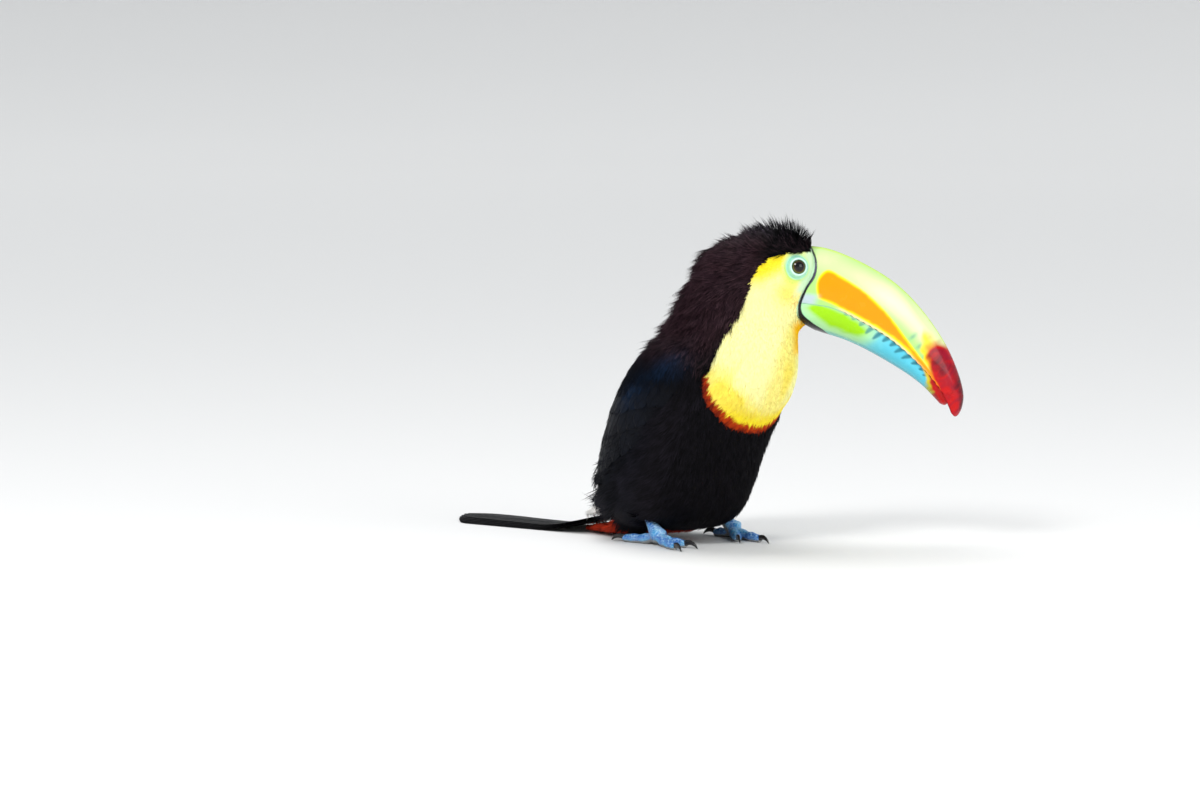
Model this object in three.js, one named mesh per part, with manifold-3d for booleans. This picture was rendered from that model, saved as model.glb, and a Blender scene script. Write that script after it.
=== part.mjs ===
// A keel-billed toucan at life size, as a still museum model, standing on level ground.
// Millimetres, +Z up. The bill points along +X, and the bird's left side is towards +Y.
// The trunk faces TRUNK_TURN away from the bill, because the bird looks to its left.
// Until the last section the origin is on the floor under the middle of the trunk.

import * as THREE from "three";
import { mergeVertices } from "three/addons/utils/BufferGeometryUtils.js";
import Module from "manifold-3d";

const wasm = await Module();
wasm.setup();

// ---------------------------------------------------------------- driving sizes

const GAP = 0.3; // clearance between pieces that meet
const TRUNK_TURN = -42; // degrees from the bill's heading to the trunk's
const HEAD_Y = -23; // the plane of symmetry of the head and bill

// Horizontal sections of the trunk and neck. x and y are the section's centre, turn its heading.
const TRUNK = [
  { at: 6.5, x: -9, y: 8, side: 14, front: 17, back: 20, turn: TRUNK_TURN },
  { at: 9, x: -9, y: 8, side: 27, front: 31, back: 36, turn: TRUNK_TURN },
  { at: 16, x: -8.5, y: 7.6, side: 36, front: 42, back: 45, turn: TRUNK_TURN },
  { at: 28, x: -7.5, y: 6.8, side: 41, front: 48, back: 49, turn: TRUNK_TURN },
  { at: 45, x: -4.5, y: 4, side: 43.5, front: 51, back: 49.5, turn: TRUNK_TURN },
  { at: 70, x: 2.2, y: -2, side: 45, front: 52.5, back: 49.5, turn: TRUNK_TURN },
  { at: 88, x: 9.1, y: -8.2, side: 47, front: 56, back: 51, turn: TRUNK_TURN },
  { at: 107, x: 15.7, y: -14.1, side: 45, front: 55, back: 50, turn: -40 },
  { at: 126, x: 21, y: -18, side: 40, front: 48.5, back: 44, turn: -34 },
  { at: 139, x: 25, y: -20.5, side: 35.5, front: 42.5, back: 38.5, turn: -24 },
  { at: 151, x: 29, y: -22, side: 32, front: 37.5, back: 36.5, turn: -12 },
  { at: 164, x: 34, y: HEAD_Y, side: 29, front: 28, back: 35.5, turn: 0 },
  { at: 176, x: 37, y: HEAD_Y, side: 22, front: 20, back: 29, turn: 0 },
];
const TRUNK_SQUARENESS = 2.15; // 2 is an ellipse
const TRUNK_RADIUS = 40; // about

// Sections of the head, square to its axis. at is the distance back from the axis's front end.
const HEAD_PITCH = 9; // degrees that the head's axis points down
const HEAD_FRONT = { x: 78.5, z: 163.5 };
const HEAD = [
  { at: 0, top: 21, bottom: 27, side: 15 },
  { at: 5, top: 26.5, bottom: 28, side: 18.5 },
  { at: 12, top: 32, bottom: 28.5, side: 22 },
  { at: 24, top: 35.5, bottom: 29, side: 26 },
  { at: 37, top: 33, bottom: 29, side: 28 },
  { at: 50, top: 27, bottom: 28, side: 27.5 },
  { at: 62, top: 18.5, bottom: 26, side: 24 },
  { at: 70, top: 10.5, bottom: 21, side: 18 },
  { at: 75, top: 2, bottom: 11, side: 9 },
];

// Outlines in the bill's plane of symmetry, as [x, z], from the base to the tip.
const CULMEN = [
  [68, 187], [75, 186.9], [86.8, 184.8], [110.4, 174.5], [130.5, 161],
  [149, 140.4], [162.7, 117.4], [169.9, 94], [168.1, 82.1],
];
const TOMIUM = [
  [60, 155.5], [67, 153.2], [86.4, 150], [104.6, 141.2], [123.2, 129.8],
  [142, 113.2], [154.8, 97.8], [161, 86.5], [163.4, 79.6],
];
const GONYS = [[66, 138], [81, 133.3], [99, 127.2], [123.6, 114.2], [142.6, 101.3], [156.6, 87.2]];
// Where the feathers stop and the bill begins, from above the culmen to under the chin.
const BILL_SEAM = [
  [67, 204], [73, 192], [74.6, 186], [76.8, 178.5], [75.6, 169.7], [70.5, 161.5],
  [66.4, 151], [67.4, 145], [73, 139], [81, 134], [90, 128.5],
];
const BILL_HALF_WIDTH = 17; // at the base
const JAW_SHARE = 0.93; // where the lower jaw ends, as a share of the mouth line

// turn and tip are how far each eye looks ahead and up from straight out to its side, in degrees.
// rim is how far the edge of the ball's visible part lies above the head's surface, and seat how
// deep the ring round it sits.
const EYE = { x: 65.6, z: 175.2, radius: 6, sight: 4.4, ring: 8, turn: 16, tip: 8, rim: 1.1, seat: 1.6 };

// The folded wing, as a patch of the trunk's surface from its front edge to its back one, at each
// height. The edges are angles from the breast's midline.
const WING = [
  { at: 20, front: 163, back: 176, thick: 1.5 },
  { at: 34, front: 121, back: 176, thick: 4.5 },
  { at: 46, front: 99, back: 175, thick: 6 },
  { at: 70, front: 85, back: 172, thick: 7 },
  { at: 92, front: 79, back: 166, thick: 7.5 },
  { at: 110, front: 76, back: 159, thick: 7.5 },
  { at: 121, front: 84, back: 152, thick: 6 },
  { at: 128, front: 102, back: 141, thick: 2.5 },
];
const WING_EDGE = 0.8;

// The yellow bib: its half angle from the breast's midline at each height.
const BIB = [
  { at: 72.5, half: 4 },
  { at: 76, half: 26 },
  { at: 84, half: 43 },
  { at: 96, half: 53 },
  { at: 112, half: 59 },
  { at: 130, half: 66 },
  { at: 150, half: 80 },
];
const BIB_DEPTH = 4;
const BIB_SPARE = 12; // how far its cutter reaches past the surface, and into the throat

const TAIL = { feathers: 10, length: 150, width: 25, thick: 0.8, root: 44, fan: 4.5, gather: 5, rise: 12 };
const UNDER_COVERTS = [
  { at: 23, half: 9, z: 7, above: 4, below: 4 },
  { at: 32, half: 18, z: 7, above: 8, below: 6 },
  { at: 48, half: 22, z: 7, above: 9, below: 6.6 },
  { at: 66, half: 20, z: 6.3, above: 5, below: 6 },
  { at: 88, half: 12, z: 3.2, above: 2, below: 2.6 },
  { at: 98, half: 4, z: 2, above: 0.8, below: 1 },
];
const UPPER_COVERTS = [
  { at: 40, half: 13, z: 24, above: 8, below: 12 },
  { at: 54, half: 20, z: 20, above: 8, below: 12 },
  { at: 68, half: 20, z: 14.5, above: 6.5, below: 9 },
  { at: 86, half: 14, z: 8.5, above: 3.5, below: 5 },
  { at: 100, half: 6, z: 5.5, above: 1.2, below: 2 },
];

// Each toe's length without its claw, and its angle from the foot's heading towards the outside.
const TOE = { root: 3.4, end: 2.6, claw: 10 };
const TOES = [
  { name: "inner_front", length: 24, angle: -13 },
  { name: "outer_front", length: 31, angle: 13 },
  { name: "outer_hind", length: 27, angle: 162 },
  { name: "inner_hind", length: 16, angle: -152 },
];
// Where each foot stands, the way it points, and the angle from there at which its shank leans into
// the belly.
const FEET = [
  { side: "right", x: -20.5, y: -22, heading: -57, shank: 180 },
  { side: "left", x: 28, y: 16, heading: -72, shank: 237 },
];

// ---------------------------------------------------------------- colours

const paint = (color, roughness) => new THREE.MeshStandardMaterial({ color, roughness, metalness: 0 });
const BLACK_FEATHER = paint(0x0c0a0d, 0.7);
const MAROON_FEATHER = paint(0x1c1216, 0.75);
const YELLOW_FEATHER = paint(0xf6dc4a, 0.75);
const RED_FEATHER = paint(0xa8250f, 0.75);
const WHITE_FEATHER = paint(0xe8e2e0, 0.75);
const BILL_GREEN = paint(0xc9e86a, 0.3);
const BILL_BLUE = paint(0x6fc8dc, 0.3);
const EYE_DARK = paint(0x0a0d08, 0.1);
const EYE_SKIN = paint(0x9fe0c0, 0.5);
const FOOT_BLUE = paint(0x5aa9e0, 0.55);
const CLAW_BLACK = paint(0x16120f, 0.3);

// ---------------------------------------------------------------- helpers

const rad = THREE.MathUtils.degToRad;
const smooth = (a, b, t) => THREE.MathUtils.smoothstep(t, a, b);
const steps = (n, f) => Array.from({ length: n + 1 }, (_, i) => f(i / n));
const around = (n, f) => Array.from({ length: n }, (_, i) => f((i / n) * 2 * Math.PI));
const signedPower = (v, p) => Math.sign(v) * Math.abs(v) ** p;

// Every column of a station table at `at`, on a smooth curve through the stations.
function station(table, at) {
  const last = table.length - 1;
  const t = THREE.MathUtils.clamp(at, table[0].at, table[last].at);
  const i = THREE.MathUtils.clamp(table.findLastIndex((row) => row.at <= t), 0, last - 1);
  const [a, b] = [table[i], table[i + 1]];
  const [before, after] = [table[Math.max(0, i - 1)], table[Math.min(last, i + 2)]];
  const span = b.at - a.at;
  const u = (t - a.at) / span;
  const made = {};
  for (const key of Object.keys(a)) {
    const leave = ((b[key] - before[key]) / (b.at - before.at)) * span;
    const arrive = ((after[key] - a[key]) / (after.at - a.at)) * span;
    made[key] =
      (2 * u ** 3 - 3 * u ** 2 + 1) * a[key] +
      (u ** 3 - 2 * u ** 2 + u) * leave +
      (3 * u ** 2 - 2 * u ** 3) * b[key] +
      (u ** 3 - u ** 2) * arrive;
  }
  return made;
}

// A manifold-3d solid from a closed three.js geometry, with its faces turned out.
function solid(geometry) {
  const bare = geometry.clone();
  bare.deleteAttribute("normal");
  bare.deleteAttribute("uv");
  const merged = mergeVertices(bare, 1e-4);
  const corners = merged.attributes.position.array;
  const faces = merged.index.array;
  if (signedVolume(corners, faces) < 0)
    for (let i = 0; i < faces.length; i += 3) [faces[i + 1], faces[i + 2]] = [faces[i + 2], faces[i + 1]];
  return new wasm.Manifold(
    new wasm.Mesh({
      numProp: 3,
      vertProperties: new Float32Array(corners),
      triVerts: new Uint32Array(faces),
    }),
  );
}

function signedVolume(corners, faces) {
  const [a, b, c] = [new THREE.Vector3(), new THREE.Vector3(), new THREE.Vector3()];
  let sum = 0;
  for (let i = 0; i < faces.length; i += 3) {
    [a, b, c].forEach((v, k) => v.fromArray(corners, faces[i + k] * 3));
    sum += a.dot(b.cross(c));
  }
  return sum;
}

function geometryOf(made) {
  const { numProp, numVert, vertProperties, triVerts } = made.getMesh();
  const positions = new Float32Array(numVert * 3);
  for (let i = 0; i < numVert; i++)
    positions.set(vertProperties.subarray(i * numProp, i * numProp + 3), i * 3);
  const geometry = new THREE.BufferGeometry();
  geometry.setAttribute("position", new THREE.BufferAttribute(positions, 3));
  geometry.setIndex(new THREE.BufferAttribute(new Uint32Array(triVerts), 1));
  return geometry;
}

// A closed solid through rings of points that all have the same count.
function loft(rings) {
  const n = rings[0].length;
  const positions = [];
  const faces = [];
  rings.forEach((ring) => ring.forEach((p) => positions.push(p.x, p.y, p.z)));
  for (let r = 0; r + 1 < rings.length; r++)
    for (let i = 0; i < n; i++) {
      const [a, b] = [r * n + i, r * n + ((i + 1) % n)];
      faces.push(a, b, b + n, a, b + n, a + n);
    }
  for (const [r, flip] of [[0, true], [rings.length - 1, false]]) {
    const middle = rings[r].reduce((sum, p) => sum.add(p), new THREE.Vector3()).divideScalar(n);
    const hub = positions.length / 3;
    positions.push(middle.x, middle.y, middle.z);
    for (let i = 0; i < n; i++) {
      const [a, b] = [r * n + i, r * n + ((i + 1) % n)];
      faces.push(hub, flip ? b : a, flip ? a : b);
    }
  }
  const geometry = new THREE.BufferGeometry();
  geometry.setAttribute("position", new THREE.Float32BufferAttribute(positions, 3));
  geometry.setIndex(faces);
  return solid(geometry);
}

// A tapering tube along a curve.
function tube(curve, rings, sides, radiusAt) {
  const frames = curve.computeFrenetFrames(rings, false);
  return loft(
    steps(rings, (t) => {
      const i = Math.round(t * rings);
      return around(sides, (angle) =>
        curve
          .getPointAt(t)
          .addScaledVector(frames.normals[i], Math.cos(angle) * radiusAt(t))
          .addScaledVector(frames.binormals[i], Math.sin(angle) * radiusAt(t)),
      );
    }),
  );
}

// All of space on the side of a plane that its normal points to, as far as this part needs.
function above({ point, normal }, lift = 0) {
  const size = 800;
  const unit = normal.clone().normalize();
  const turn = new THREE.Quaternion().setFromUnitVectors(new THREE.Vector3(0, 0, 1), unit);
  const centre = point.clone().addScaledVector(unit, lift);
  const box = new THREE.BoxGeometry(size, size, size).translate(0, 0, size / 2);
  return solid(box.applyQuaternion(turn).translate(centre.x, centre.y, centre.z));
}

const FLOOR = { point: new THREE.Vector3(), normal: new THREE.Vector3(0, 0, 1) };
const largest = (made) => made.decompose().sort((a, b) => b.volume() - a.volume())[0];

// ---------------------------------------------------------------- trunk, neck and bib

// A point over the trunk's surface. phi is the angle from the breast's midline, to the bird's right.
function trunkPoint(z, phi, out = 0) {
  const s = station(TRUNK, z);
  const turn = rad(s.turn);
  const reach = (Math.cos(phi) > 0 ? s.front : s.back) + out;
  const ahead = signedPower(Math.cos(phi), 2 / TRUNK_SQUARENESS) * reach;
  const right = signedPower(Math.sin(phi), 2 / TRUNK_SQUARENESS) * (s.side + out);
  return new THREE.Vector3(
    s.x + Math.cos(turn) * ahead + Math.sin(turn) * right,
    s.y + Math.sin(turn) * ahead - Math.cos(turn) * right,
    z,
  );
}

// The angle, in degrees, that a short distance takes up on the trunk's surface.
const angleOver = (distance) => THREE.MathUtils.radToDeg(distance / TRUNK_RADIUS);

// The trunk and neck in one, and the room that they take with a gap all round.
function trunkAndNeck(grow) {
  const [low, high] = [TRUNK[0].at, TRUNK.at(-1).at];
  // The rings are closer together towards the belly, which curves in fast.
  const height = (t) => low + (high - low) * t ** 1.45;
  const made = loft(steps(16, (t) => around(26, (phi) => trunkPoint(height(t), phi, grow))));
  return made.add(made.translate(0, 0, -grow));
}

// A slab over part of the trunk's surface: from angle a to b, between two distances from it.
function trunkSlab({ low, high, a, b, inner, outer, rings, columns, side = 1 }) {
  const row = (z, out, from, to) =>
    steps(columns, (t) => {
      const across = from + (to - from) * t;
      return trunkPoint(z, side * rad(a(z) + (b(z) - a(z)) * across), out(z, across));
    });
  return loft(
    steps(rings, (t) => {
      const z = low + (high - low) * 0.5 * (1 - Math.cos(Math.PI * t)); // closer together at the ends
      return [...row(z, outer, 0, 1), ...row(z, inner, 1, 0)];
    }),
  );
}

function bibCutter(grow) {
  const half = (z) => station(BIB, z).half + angleOver(grow);
  return trunkSlab({
    low: BIB[0].at,
    high: BIB.at(-1).at + BIB_SPARE,
    a: (z) => -half(z),
    b: half,
    inner: () => -BIB_DEPTH - grow,
    outer: () => BIB_SPARE,
    rings: 10,
    columns: 10,
  });
}

// ---------------------------------------------------------------- head

// Sections of the head bulge a little more than an ellipse.
const HEAD_SQUARENESS = 2.2;

function headPoint(at, theta) {
  const s = station(HEAD, at);
  const pitch = rad(HEAD_PITCH);
  const up = signedPower(Math.cos(theta), 2 / HEAD_SQUARENESS) * (Math.cos(theta) > 0 ? s.top : s.bottom);
  const left = signedPower(Math.sin(theta), 2 / HEAD_SQUARENESS) * s.side;
  return new THREE.Vector3(
    HEAD_FRONT.x - Math.cos(pitch) * at + Math.sin(pitch) * up,
    HEAD_Y + left,
    HEAD_FRONT.z + Math.sin(pitch) * at + Math.cos(pitch) * up,
  );
}

const headSolid = () => loft(steps(11, (t) => around(22, (theta) => headPoint(HEAD.at(-1).at * t, theta))));

// How far the head reaches to one side of its middle, abreast of the eye.
function headHalfWidthAtEye() {
  const pitch = rad(HEAD_PITCH);
  const [dx, dz] = [EYE.x - HEAD_FRONT.x, EYE.z - HEAD_FRONT.z];
  const s = station(HEAD, -dx * Math.cos(pitch) + dz * Math.sin(pitch));
  const up = dx * Math.sin(pitch) + dz * Math.cos(pitch);
  return s.side * (1 - (up / s.top) ** HEAD_SQUARENESS) ** (1 / HEAD_SQUARENESS);
}

// ---------------------------------------------------------------- bill

const outline = (points) =>
  new THREE.CatmullRomCurve3(points.map(([x, z]) => new THREE.Vector3(x, HEAD_Y, z)), false, "centripetal");
const culmen = outline(CULMEN);
const tomium = outline(TOMIUM);
const gonys = outline(GONYS);

// Everything in front of the seam between feathers and bill, moved back by grow.
function aheadOfSeam(grow) {
  const edge = outline(BILL_SEAM).getPoints(11);
  const shape = new THREE.Shape(edge.map((p) => new THREE.Vector2(p.x - grow, p.z)));
  const [last, far, low] = [edge.at(-1), 240, 40];
  [[last.x, low], [far, low], [far, edge[0].z]].forEach(([x, z]) => shape.lineTo(x, z));
  const slab = new THREE.ExtrudeGeometry(shape, { depth: 100, bevelEnabled: false, curveSegments: 1 });
  return solid(slab.rotateX(Math.PI / 2).translate(0, HEAD_Y + 50, 0));
}

// The bill narrows slowly, then fast to its hooked tip.
const billHalfWidth = (t) => BILL_HALF_WIDTH * (1 - 0.16 * t) * (1 - t ** 2.6) ** 0.62 + 1.3;

// One jaw's ring: down one side from the mouth's edge to the ridge, and back up the other.
function jawRing(edge, ridge, halfWidth, fullness) {
  const wall = steps(6, (v) => ({ v, across: halfWidth * (1 - v ** fullness) ** (1 / 1.7) }));
  const point = ({ v, across }, side) =>
    edge.clone().lerp(ridge, v).add(new THREE.Vector3(0, side * across, 0));
  return [...wall.map((w) => point(w, 1)), ...wall.slice(0, -1).reverse().map((w) => point(w, -1))];
}

function upperJaw() {
  return loft(
    steps(18, (t) => {
      const at = 1 - (1 - t) ** 1.2; // closer together at the tip
      return jawRing(tomium.getPointAt(at), culmen.getPointAt(at), billHalfWidth(at * 0.985), 2.3);
    }),
  );
}

function lowerJaw() {
  return loft(
    steps(15, (t) => {
      const at = 1 - (1 - t) ** 1.2;
      const mouth = tomium.getPointAt(at * JAW_SHARE);
      const under = gonys.getPointAt(at);
      const inward = under.clone().sub(mouth).normalize().multiplyScalar(GAP * 1.5);
      return jawRing(mouth.add(inward), under, billHalfWidth(at * 0.97) - 0.8, 2.6);
    }),
  );
}

// ---------------------------------------------------------------- eyes

// Where an eye sits on the head's surface, and the way it looks. side is 1 for the left one.
function eyeSeat(side) {
  const [turn, tip] = [rad(EYE.turn), rad(EYE.tip)];
  const level = Math.cos(tip);
  const look = new THREE.Vector3(Math.sin(turn) * level, side * Math.cos(turn) * level, Math.sin(tip));
  return { point: new THREE.Vector3(EYE.x, HEAD_Y + side * headHalfWidthAtEye(), EYE.z), look };
}

// A geometry whose own +Y is out of the head, placed on the seat and raised by `height`.
function seated(geometry, side, height) {
  const { point, look } = eyeSeat(side);
  const centre = point.addScaledVector(look, height);
  const turn = new THREE.Quaternion().setFromUnitVectors(new THREE.Vector3(0, 1, 0), look);
  return solid(geometry.applyQuaternion(turn).translate(centre.x, centre.y, centre.z));
}

function eyeBall(side, grow) {
  const sunk = Math.sqrt(EYE.radius ** 2 - EYE.sight ** 2) - EYE.rim;
  return seated(new THREE.SphereGeometry(EYE.radius + grow, 12, 8), side, -sunk);
}

// The bare skin round the eye: a low ring that swells from the head.
function eyeRing(side) {
  const foot = [6.3, -EYE.seat];
  const swell = [[7.7, 0], [6.4, 1], [5.4, 1.4], [4.9, EYE.rim], [5.7, 0]];
  const profile = [foot, [EYE.ring, -EYE.seat], ...swell, foot];
  return seated(new THREE.LatheGeometry(profile.map(([r, h]) => new THREE.Vector2(r, h)), 16), side, 0);
}

// The pocket that the ring sits in, open to the outside.
function eyePocket(side) {
  const depth = 8;
  const pocket = new THREE.CylinderGeometry(EYE.ring + GAP, EYE.ring + GAP, depth, 16);
  return seated(pocket, side, depth / 2 - EYE.seat - GAP);
}

// ---------------------------------------------------------------- wings

function wing(side, grow) {
  const at = (z) => station(WING, z);
  const swell = (z, across) => WING_EDGE + (at(z).thick - WING_EDGE) * Math.sin(Math.PI * across) ** 0.7;
  const wider = angleOver(grow);
  return trunkSlab({
    low: WING[0].at - grow,
    high: WING.at(-1).at,
    a: (z) => at(z).front - wider,
    b: (z) => at(z).back + wider,
    inner: () => -1,
    outer: (z, across) => GAP + swell(z, across) + grow * 1.5,
    rings: 11,
    columns: 6,
    side,
  });
}

// ---------------------------------------------------------------- tail and its coverts

// A point in the trunk's own frame: ahead along its heading, and to its left.
function fromTrunk(ahead, left, z) {
  return new THREE.Vector3(ahead, left, z).applyAxisAngle(new THREE.Vector3(0, 0, 1), rad(TRUNK_TURN));
}

// How high the underside of the tail is, on its way from the rump down to the floor.
const tailUnderside = (t) => TAIL.rise * (1 - smooth(0, 0.5, t));
const TAIL_STATIONS = steps(6, (share) => share ** 0.8);

// One feather of the tail. lean runs from -1 at one edge of the tail to 1 at the other.
function tailFeather(lean) {
  const angle = rad(lean * TAIL.fan);
  const lift = TAIL.thick * 0.9 * Math.round((1 - Math.abs(lean)) * (TAIL.feathers / 2 - 0.5));
  const length = TAIL.length * (1 - 0.06 * lean ** 2);
  const rings = TAIL_STATIONS.map((t) => {
    const half = TAIL.width * 0.5 * (0.42 + 0.58 * smooth(0, 0.3, t)) * (1 - 0.8 * smooth(0.9, 1.02, t));
    const low = tailUnderside(t) + lift;
    const section = [[-half, low], [half, low], [half, low + TAIL.thick], [-half, low + TAIL.thick]];
    return section.map(([across, z]) => {
      const back = TAIL.root + length * t * Math.cos(angle) - across * Math.sin(angle);
      const left = lean * TAIL.gather + length * t * Math.sin(angle) + across * Math.cos(angle);
      return fromTrunk(-back, left, z);
    });
  });
  return loft(rings);
}

const tail = () =>
  wasm.Manifold.union(steps(TAIL.feathers - 1, (t) => t * 2 - 1).map((lean) => tailFeather(lean)));

// All the room that the tail takes, for its coverts to keep clear of.
function tailRoom() {
  const spare = GAP * 3;
  const depth = TAIL.thick * (TAIL.feathers / 2) + spare * 2;
  const halfAt = (t) => TAIL.width * 0.5 + TAIL.gather + spare + t * TAIL.length * Math.sin(rad(TAIL.fan));
  const rings = TAIL_STATIONS.map((t) => {
    const low = tailUnderside(t) - spare;
    const section = [[-1, low], [1, low], [1, low + depth], [-1, low + depth]];
    return section.map(([side, z]) => fromTrunk(4 - TAIL.root - TAIL.length * t, side * halfAt(t), z));
  });
  return loft(rings);
}

// A rounded wedge of small feathers along the middle of the rump, through a table of sections.
function coverts(table) {
  const [from, to] = [table[0].at, table.at(-1).at];
  return loft(
    steps(8, (t) => {
      const s = station(table, from + (to - from) * t);
      return around(12, (angle) => {
        const up = Math.sin(angle);
        return fromTrunk(-s.at, Math.cos(angle) * s.half, s.z + up * (up > 0 ? s.above : s.below));
      });
    }),
  );
}

// ---------------------------------------------------------------- legs and feet

// A place along a line on the floor through the foot's middle, at an angle to its heading.
function fromFoot(foot, angle, along, z) {
  const heading = rad(foot.heading + (foot.side === "right" ? -angle : angle));
  return new THREE.Vector3(foot.x + Math.cos(heading) * along, foot.y + Math.sin(heading) * along, z);
}

const footCurve = (foot, angle, points) =>
  new THREE.CatmullRomCurve3(points.map(([along, z]) => fromFoot(foot, angle, along, z)));

// The toe swells at each of its joints. Where its underside is below the floor it is cut flat.
function toeSolid(foot, { length, angle }, grow) {
  const curve = footCurve(foot, angle, [[2.2, 5], [length * 0.35, 3], [length * 0.7, 2.4], [length, 2.1]]);
  const radius = (t) => {
    const taper = TOE.root + (TOE.end - TOE.root) * t;
    return taper * (1 + 0.09 * Math.cos(6 * Math.PI * t)) * (1 - 0.35 * smooth(0.88, 1, t)) + grow;
  };
  return tube(curve, 5, 7, radius);
}

function clawSolid(foot, { length, angle }, grow) {
  const curve = footCurve(foot, angle, [
    [length - 1.5, 2.7],
    [length + TOE.claw * 0.35, 3.5],
    [length + TOE.claw * 0.75, 2.4],
    [length + TOE.claw * 0.97, 0.45],
  ]);
  return tube(curve, 4, 6, (t) => 1.75 * (1 - t) ** 0.75 + 0.28 + grow);
}

// The knuckle over the toes, and the shank that goes up and back into the belly's feathers.
function shankSolid(foot, grow) {
  const curve = footCurve(foot, foot.shank, [[-3.5, 4.6], [0, 6.4], [5, 11], [11, 19]]);
  const radius = (t) => 5.3 - 1.9 * smooth(0.15, 0.7, t) - 1.6 * (1 - smooth(0, 0.12, t)) + grow;
  return tube(curve, 6, 8, radius);
}

const onFloor = (made) => made.intersect(above(FLOOR));

// ---------------------------------------------------------------- cutting the pieces apart

const parts = [];
function keep(name, made, material) {
  parts.push({ name, made: largest(made), material });
}

const bill = aheadOfSeam(0);
keep("bill_upper", upperJaw().intersect(bill), BILL_GREEN);
keep("bill_lower", lowerJaw().intersect(bill), BILL_BLUE);

// The head ends under the jaw and behind the crown; the neck ends above the shoulders.
const throat = { point: new THREE.Vector3(52, HEAD_Y, 139), normal: new THREE.Vector3(0.42, 0, 0.907) };
const collar = { point: new THREE.Vector3(18, -16, 117), normal: new THREE.Vector3(0.12, -0.1, 0.987) };

const column = trunkAndNeck(0);
const body = column.add(headSolid()).subtract(aheadOfSeam(GAP));
const bibPatch = bibCutter(0).subtract(above(throat, -GAP));
const bibRoom = bibCutter(GAP).add(bibCutter(GAP).translate(0, 0, -GAP)).subtract(above(throat));
const unbibbed = body.subtract(bibRoom);
let head = unbibbed.intersect(above(throat));
let trunk = unbibbed.subtract(above(collar));

for (const [name, side] of [["right", -1], ["left", 1]]) {
  const bed = eyeBall(side, GAP);
  head = head.subtract(bed).subtract(eyePocket(side));
  keep(`eye_${name}`, eyeBall(side, 0), EYE_DARK);
  keep(`eye_ring_${name}`, eyeRing(side), EYE_SKIN);
}

for (const foot of FEET) {
  const room = shankSolid(foot, GAP);
  trunk = trunk.subtract(room);
  keep(`shank_${foot.side}`, onFloor(shankSolid(foot, 0)), FOOT_BLUE);
  let taken = room;
  for (const toe of TOES) {
    const made = toeSolid(foot, toe, 0).subtract(taken).subtract(clawSolid(foot, toe, GAP));
    keep(`toe_${toe.name}_${foot.side}`, onFloor(made), FOOT_BLUE);
    keep(`claw_${toe.name}_${foot.side}`, onFloor(clawSolid(foot, toe, 0)), CLAW_BLACK);
    taken = taken.add(toeSolid(foot, toe, GAP));
  }
}

keep("head", head, BLACK_FEATHER);
keep("neck", unbibbed.subtract(above(throat, -GAP)).intersect(above(collar, GAP)), MAROON_FEATHER);
keep("bib", body.intersect(bibPatch), YELLOW_FEATHER);
keep("trunk", trunk, BLACK_FEATHER);

const trunkRoom = trunkAndNeck(GAP);
keep("wing_right", wing(1, 0).subtract(trunkRoom), BLACK_FEATHER);
keep("wing_left", wing(-1, 0).subtract(trunkRoom), BLACK_FEATHER);
const shankRooms = FEET.map((foot) => shankSolid(foot, GAP));
const rumpRoom = wasm.Manifold.union([trunkRoom, tailRoom(), wing(1, GAP), wing(-1, GAP), ...shankRooms]);
keep("tail", tail().subtract(trunkRoom), BLACK_FEATHER);
keep("tail_coverts_upper", coverts(UPPER_COVERTS).subtract(rumpRoom), WHITE_FEATHER);
keep("tail_coverts_under", onFloor(coverts(UNDER_COVERTS)).subtract(rumpRoom), RED_FEATHER);

const toucan = new THREE.Group();
for (const { name, made, material } of parts) {
  const mesh = new THREE.Mesh(geometryOf(made), material);
  mesh.name = name;
  toucan.add(mesh);
}

// The origin moves to the middle of the underside of the bounding box.
const box = new THREE.Box3().setFromObject(toucan);
toucan.position.set(-(box.min.x + box.max.x) / 2, -(box.min.y + box.max.y) / 2, -box.min.z);

export default toucan;
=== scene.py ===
"""A keel-billed toucan at life size, as a still museum model on a plain floor.

The CAD solids give its shape. One skin lies inside them, and a coat of small feathers covers the skin.
The bill, eyes, feet, wing feathers and tail are made finer around the same driving sizes as the solids.

Lengths are millimetres in the bird's own frame: the bill points along +X, the bird's left side is
towards +Y, and the origin is on the floor under the middle of its trunk. piece() turns them into
metres in the row's frame. Colours are linear.
"""

import math
from types import SimpleNamespace

import bmesh
import bpy
import numpy as np
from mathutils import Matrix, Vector
from mathutils.bvhtree import BVHTree


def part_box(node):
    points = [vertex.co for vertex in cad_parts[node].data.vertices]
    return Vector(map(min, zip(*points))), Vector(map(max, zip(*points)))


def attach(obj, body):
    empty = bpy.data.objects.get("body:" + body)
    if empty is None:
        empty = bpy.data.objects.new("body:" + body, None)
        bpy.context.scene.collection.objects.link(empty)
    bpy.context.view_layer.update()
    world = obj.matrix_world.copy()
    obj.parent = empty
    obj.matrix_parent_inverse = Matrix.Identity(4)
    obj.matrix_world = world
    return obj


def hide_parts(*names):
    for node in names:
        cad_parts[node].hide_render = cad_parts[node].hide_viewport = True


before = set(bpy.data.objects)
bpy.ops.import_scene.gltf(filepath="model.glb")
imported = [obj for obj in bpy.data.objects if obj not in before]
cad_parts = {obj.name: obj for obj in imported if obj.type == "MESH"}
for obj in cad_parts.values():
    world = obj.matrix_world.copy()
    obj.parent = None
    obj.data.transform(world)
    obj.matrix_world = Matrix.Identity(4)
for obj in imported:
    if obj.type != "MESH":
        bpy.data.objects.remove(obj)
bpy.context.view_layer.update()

# ---- driving sizes

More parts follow.
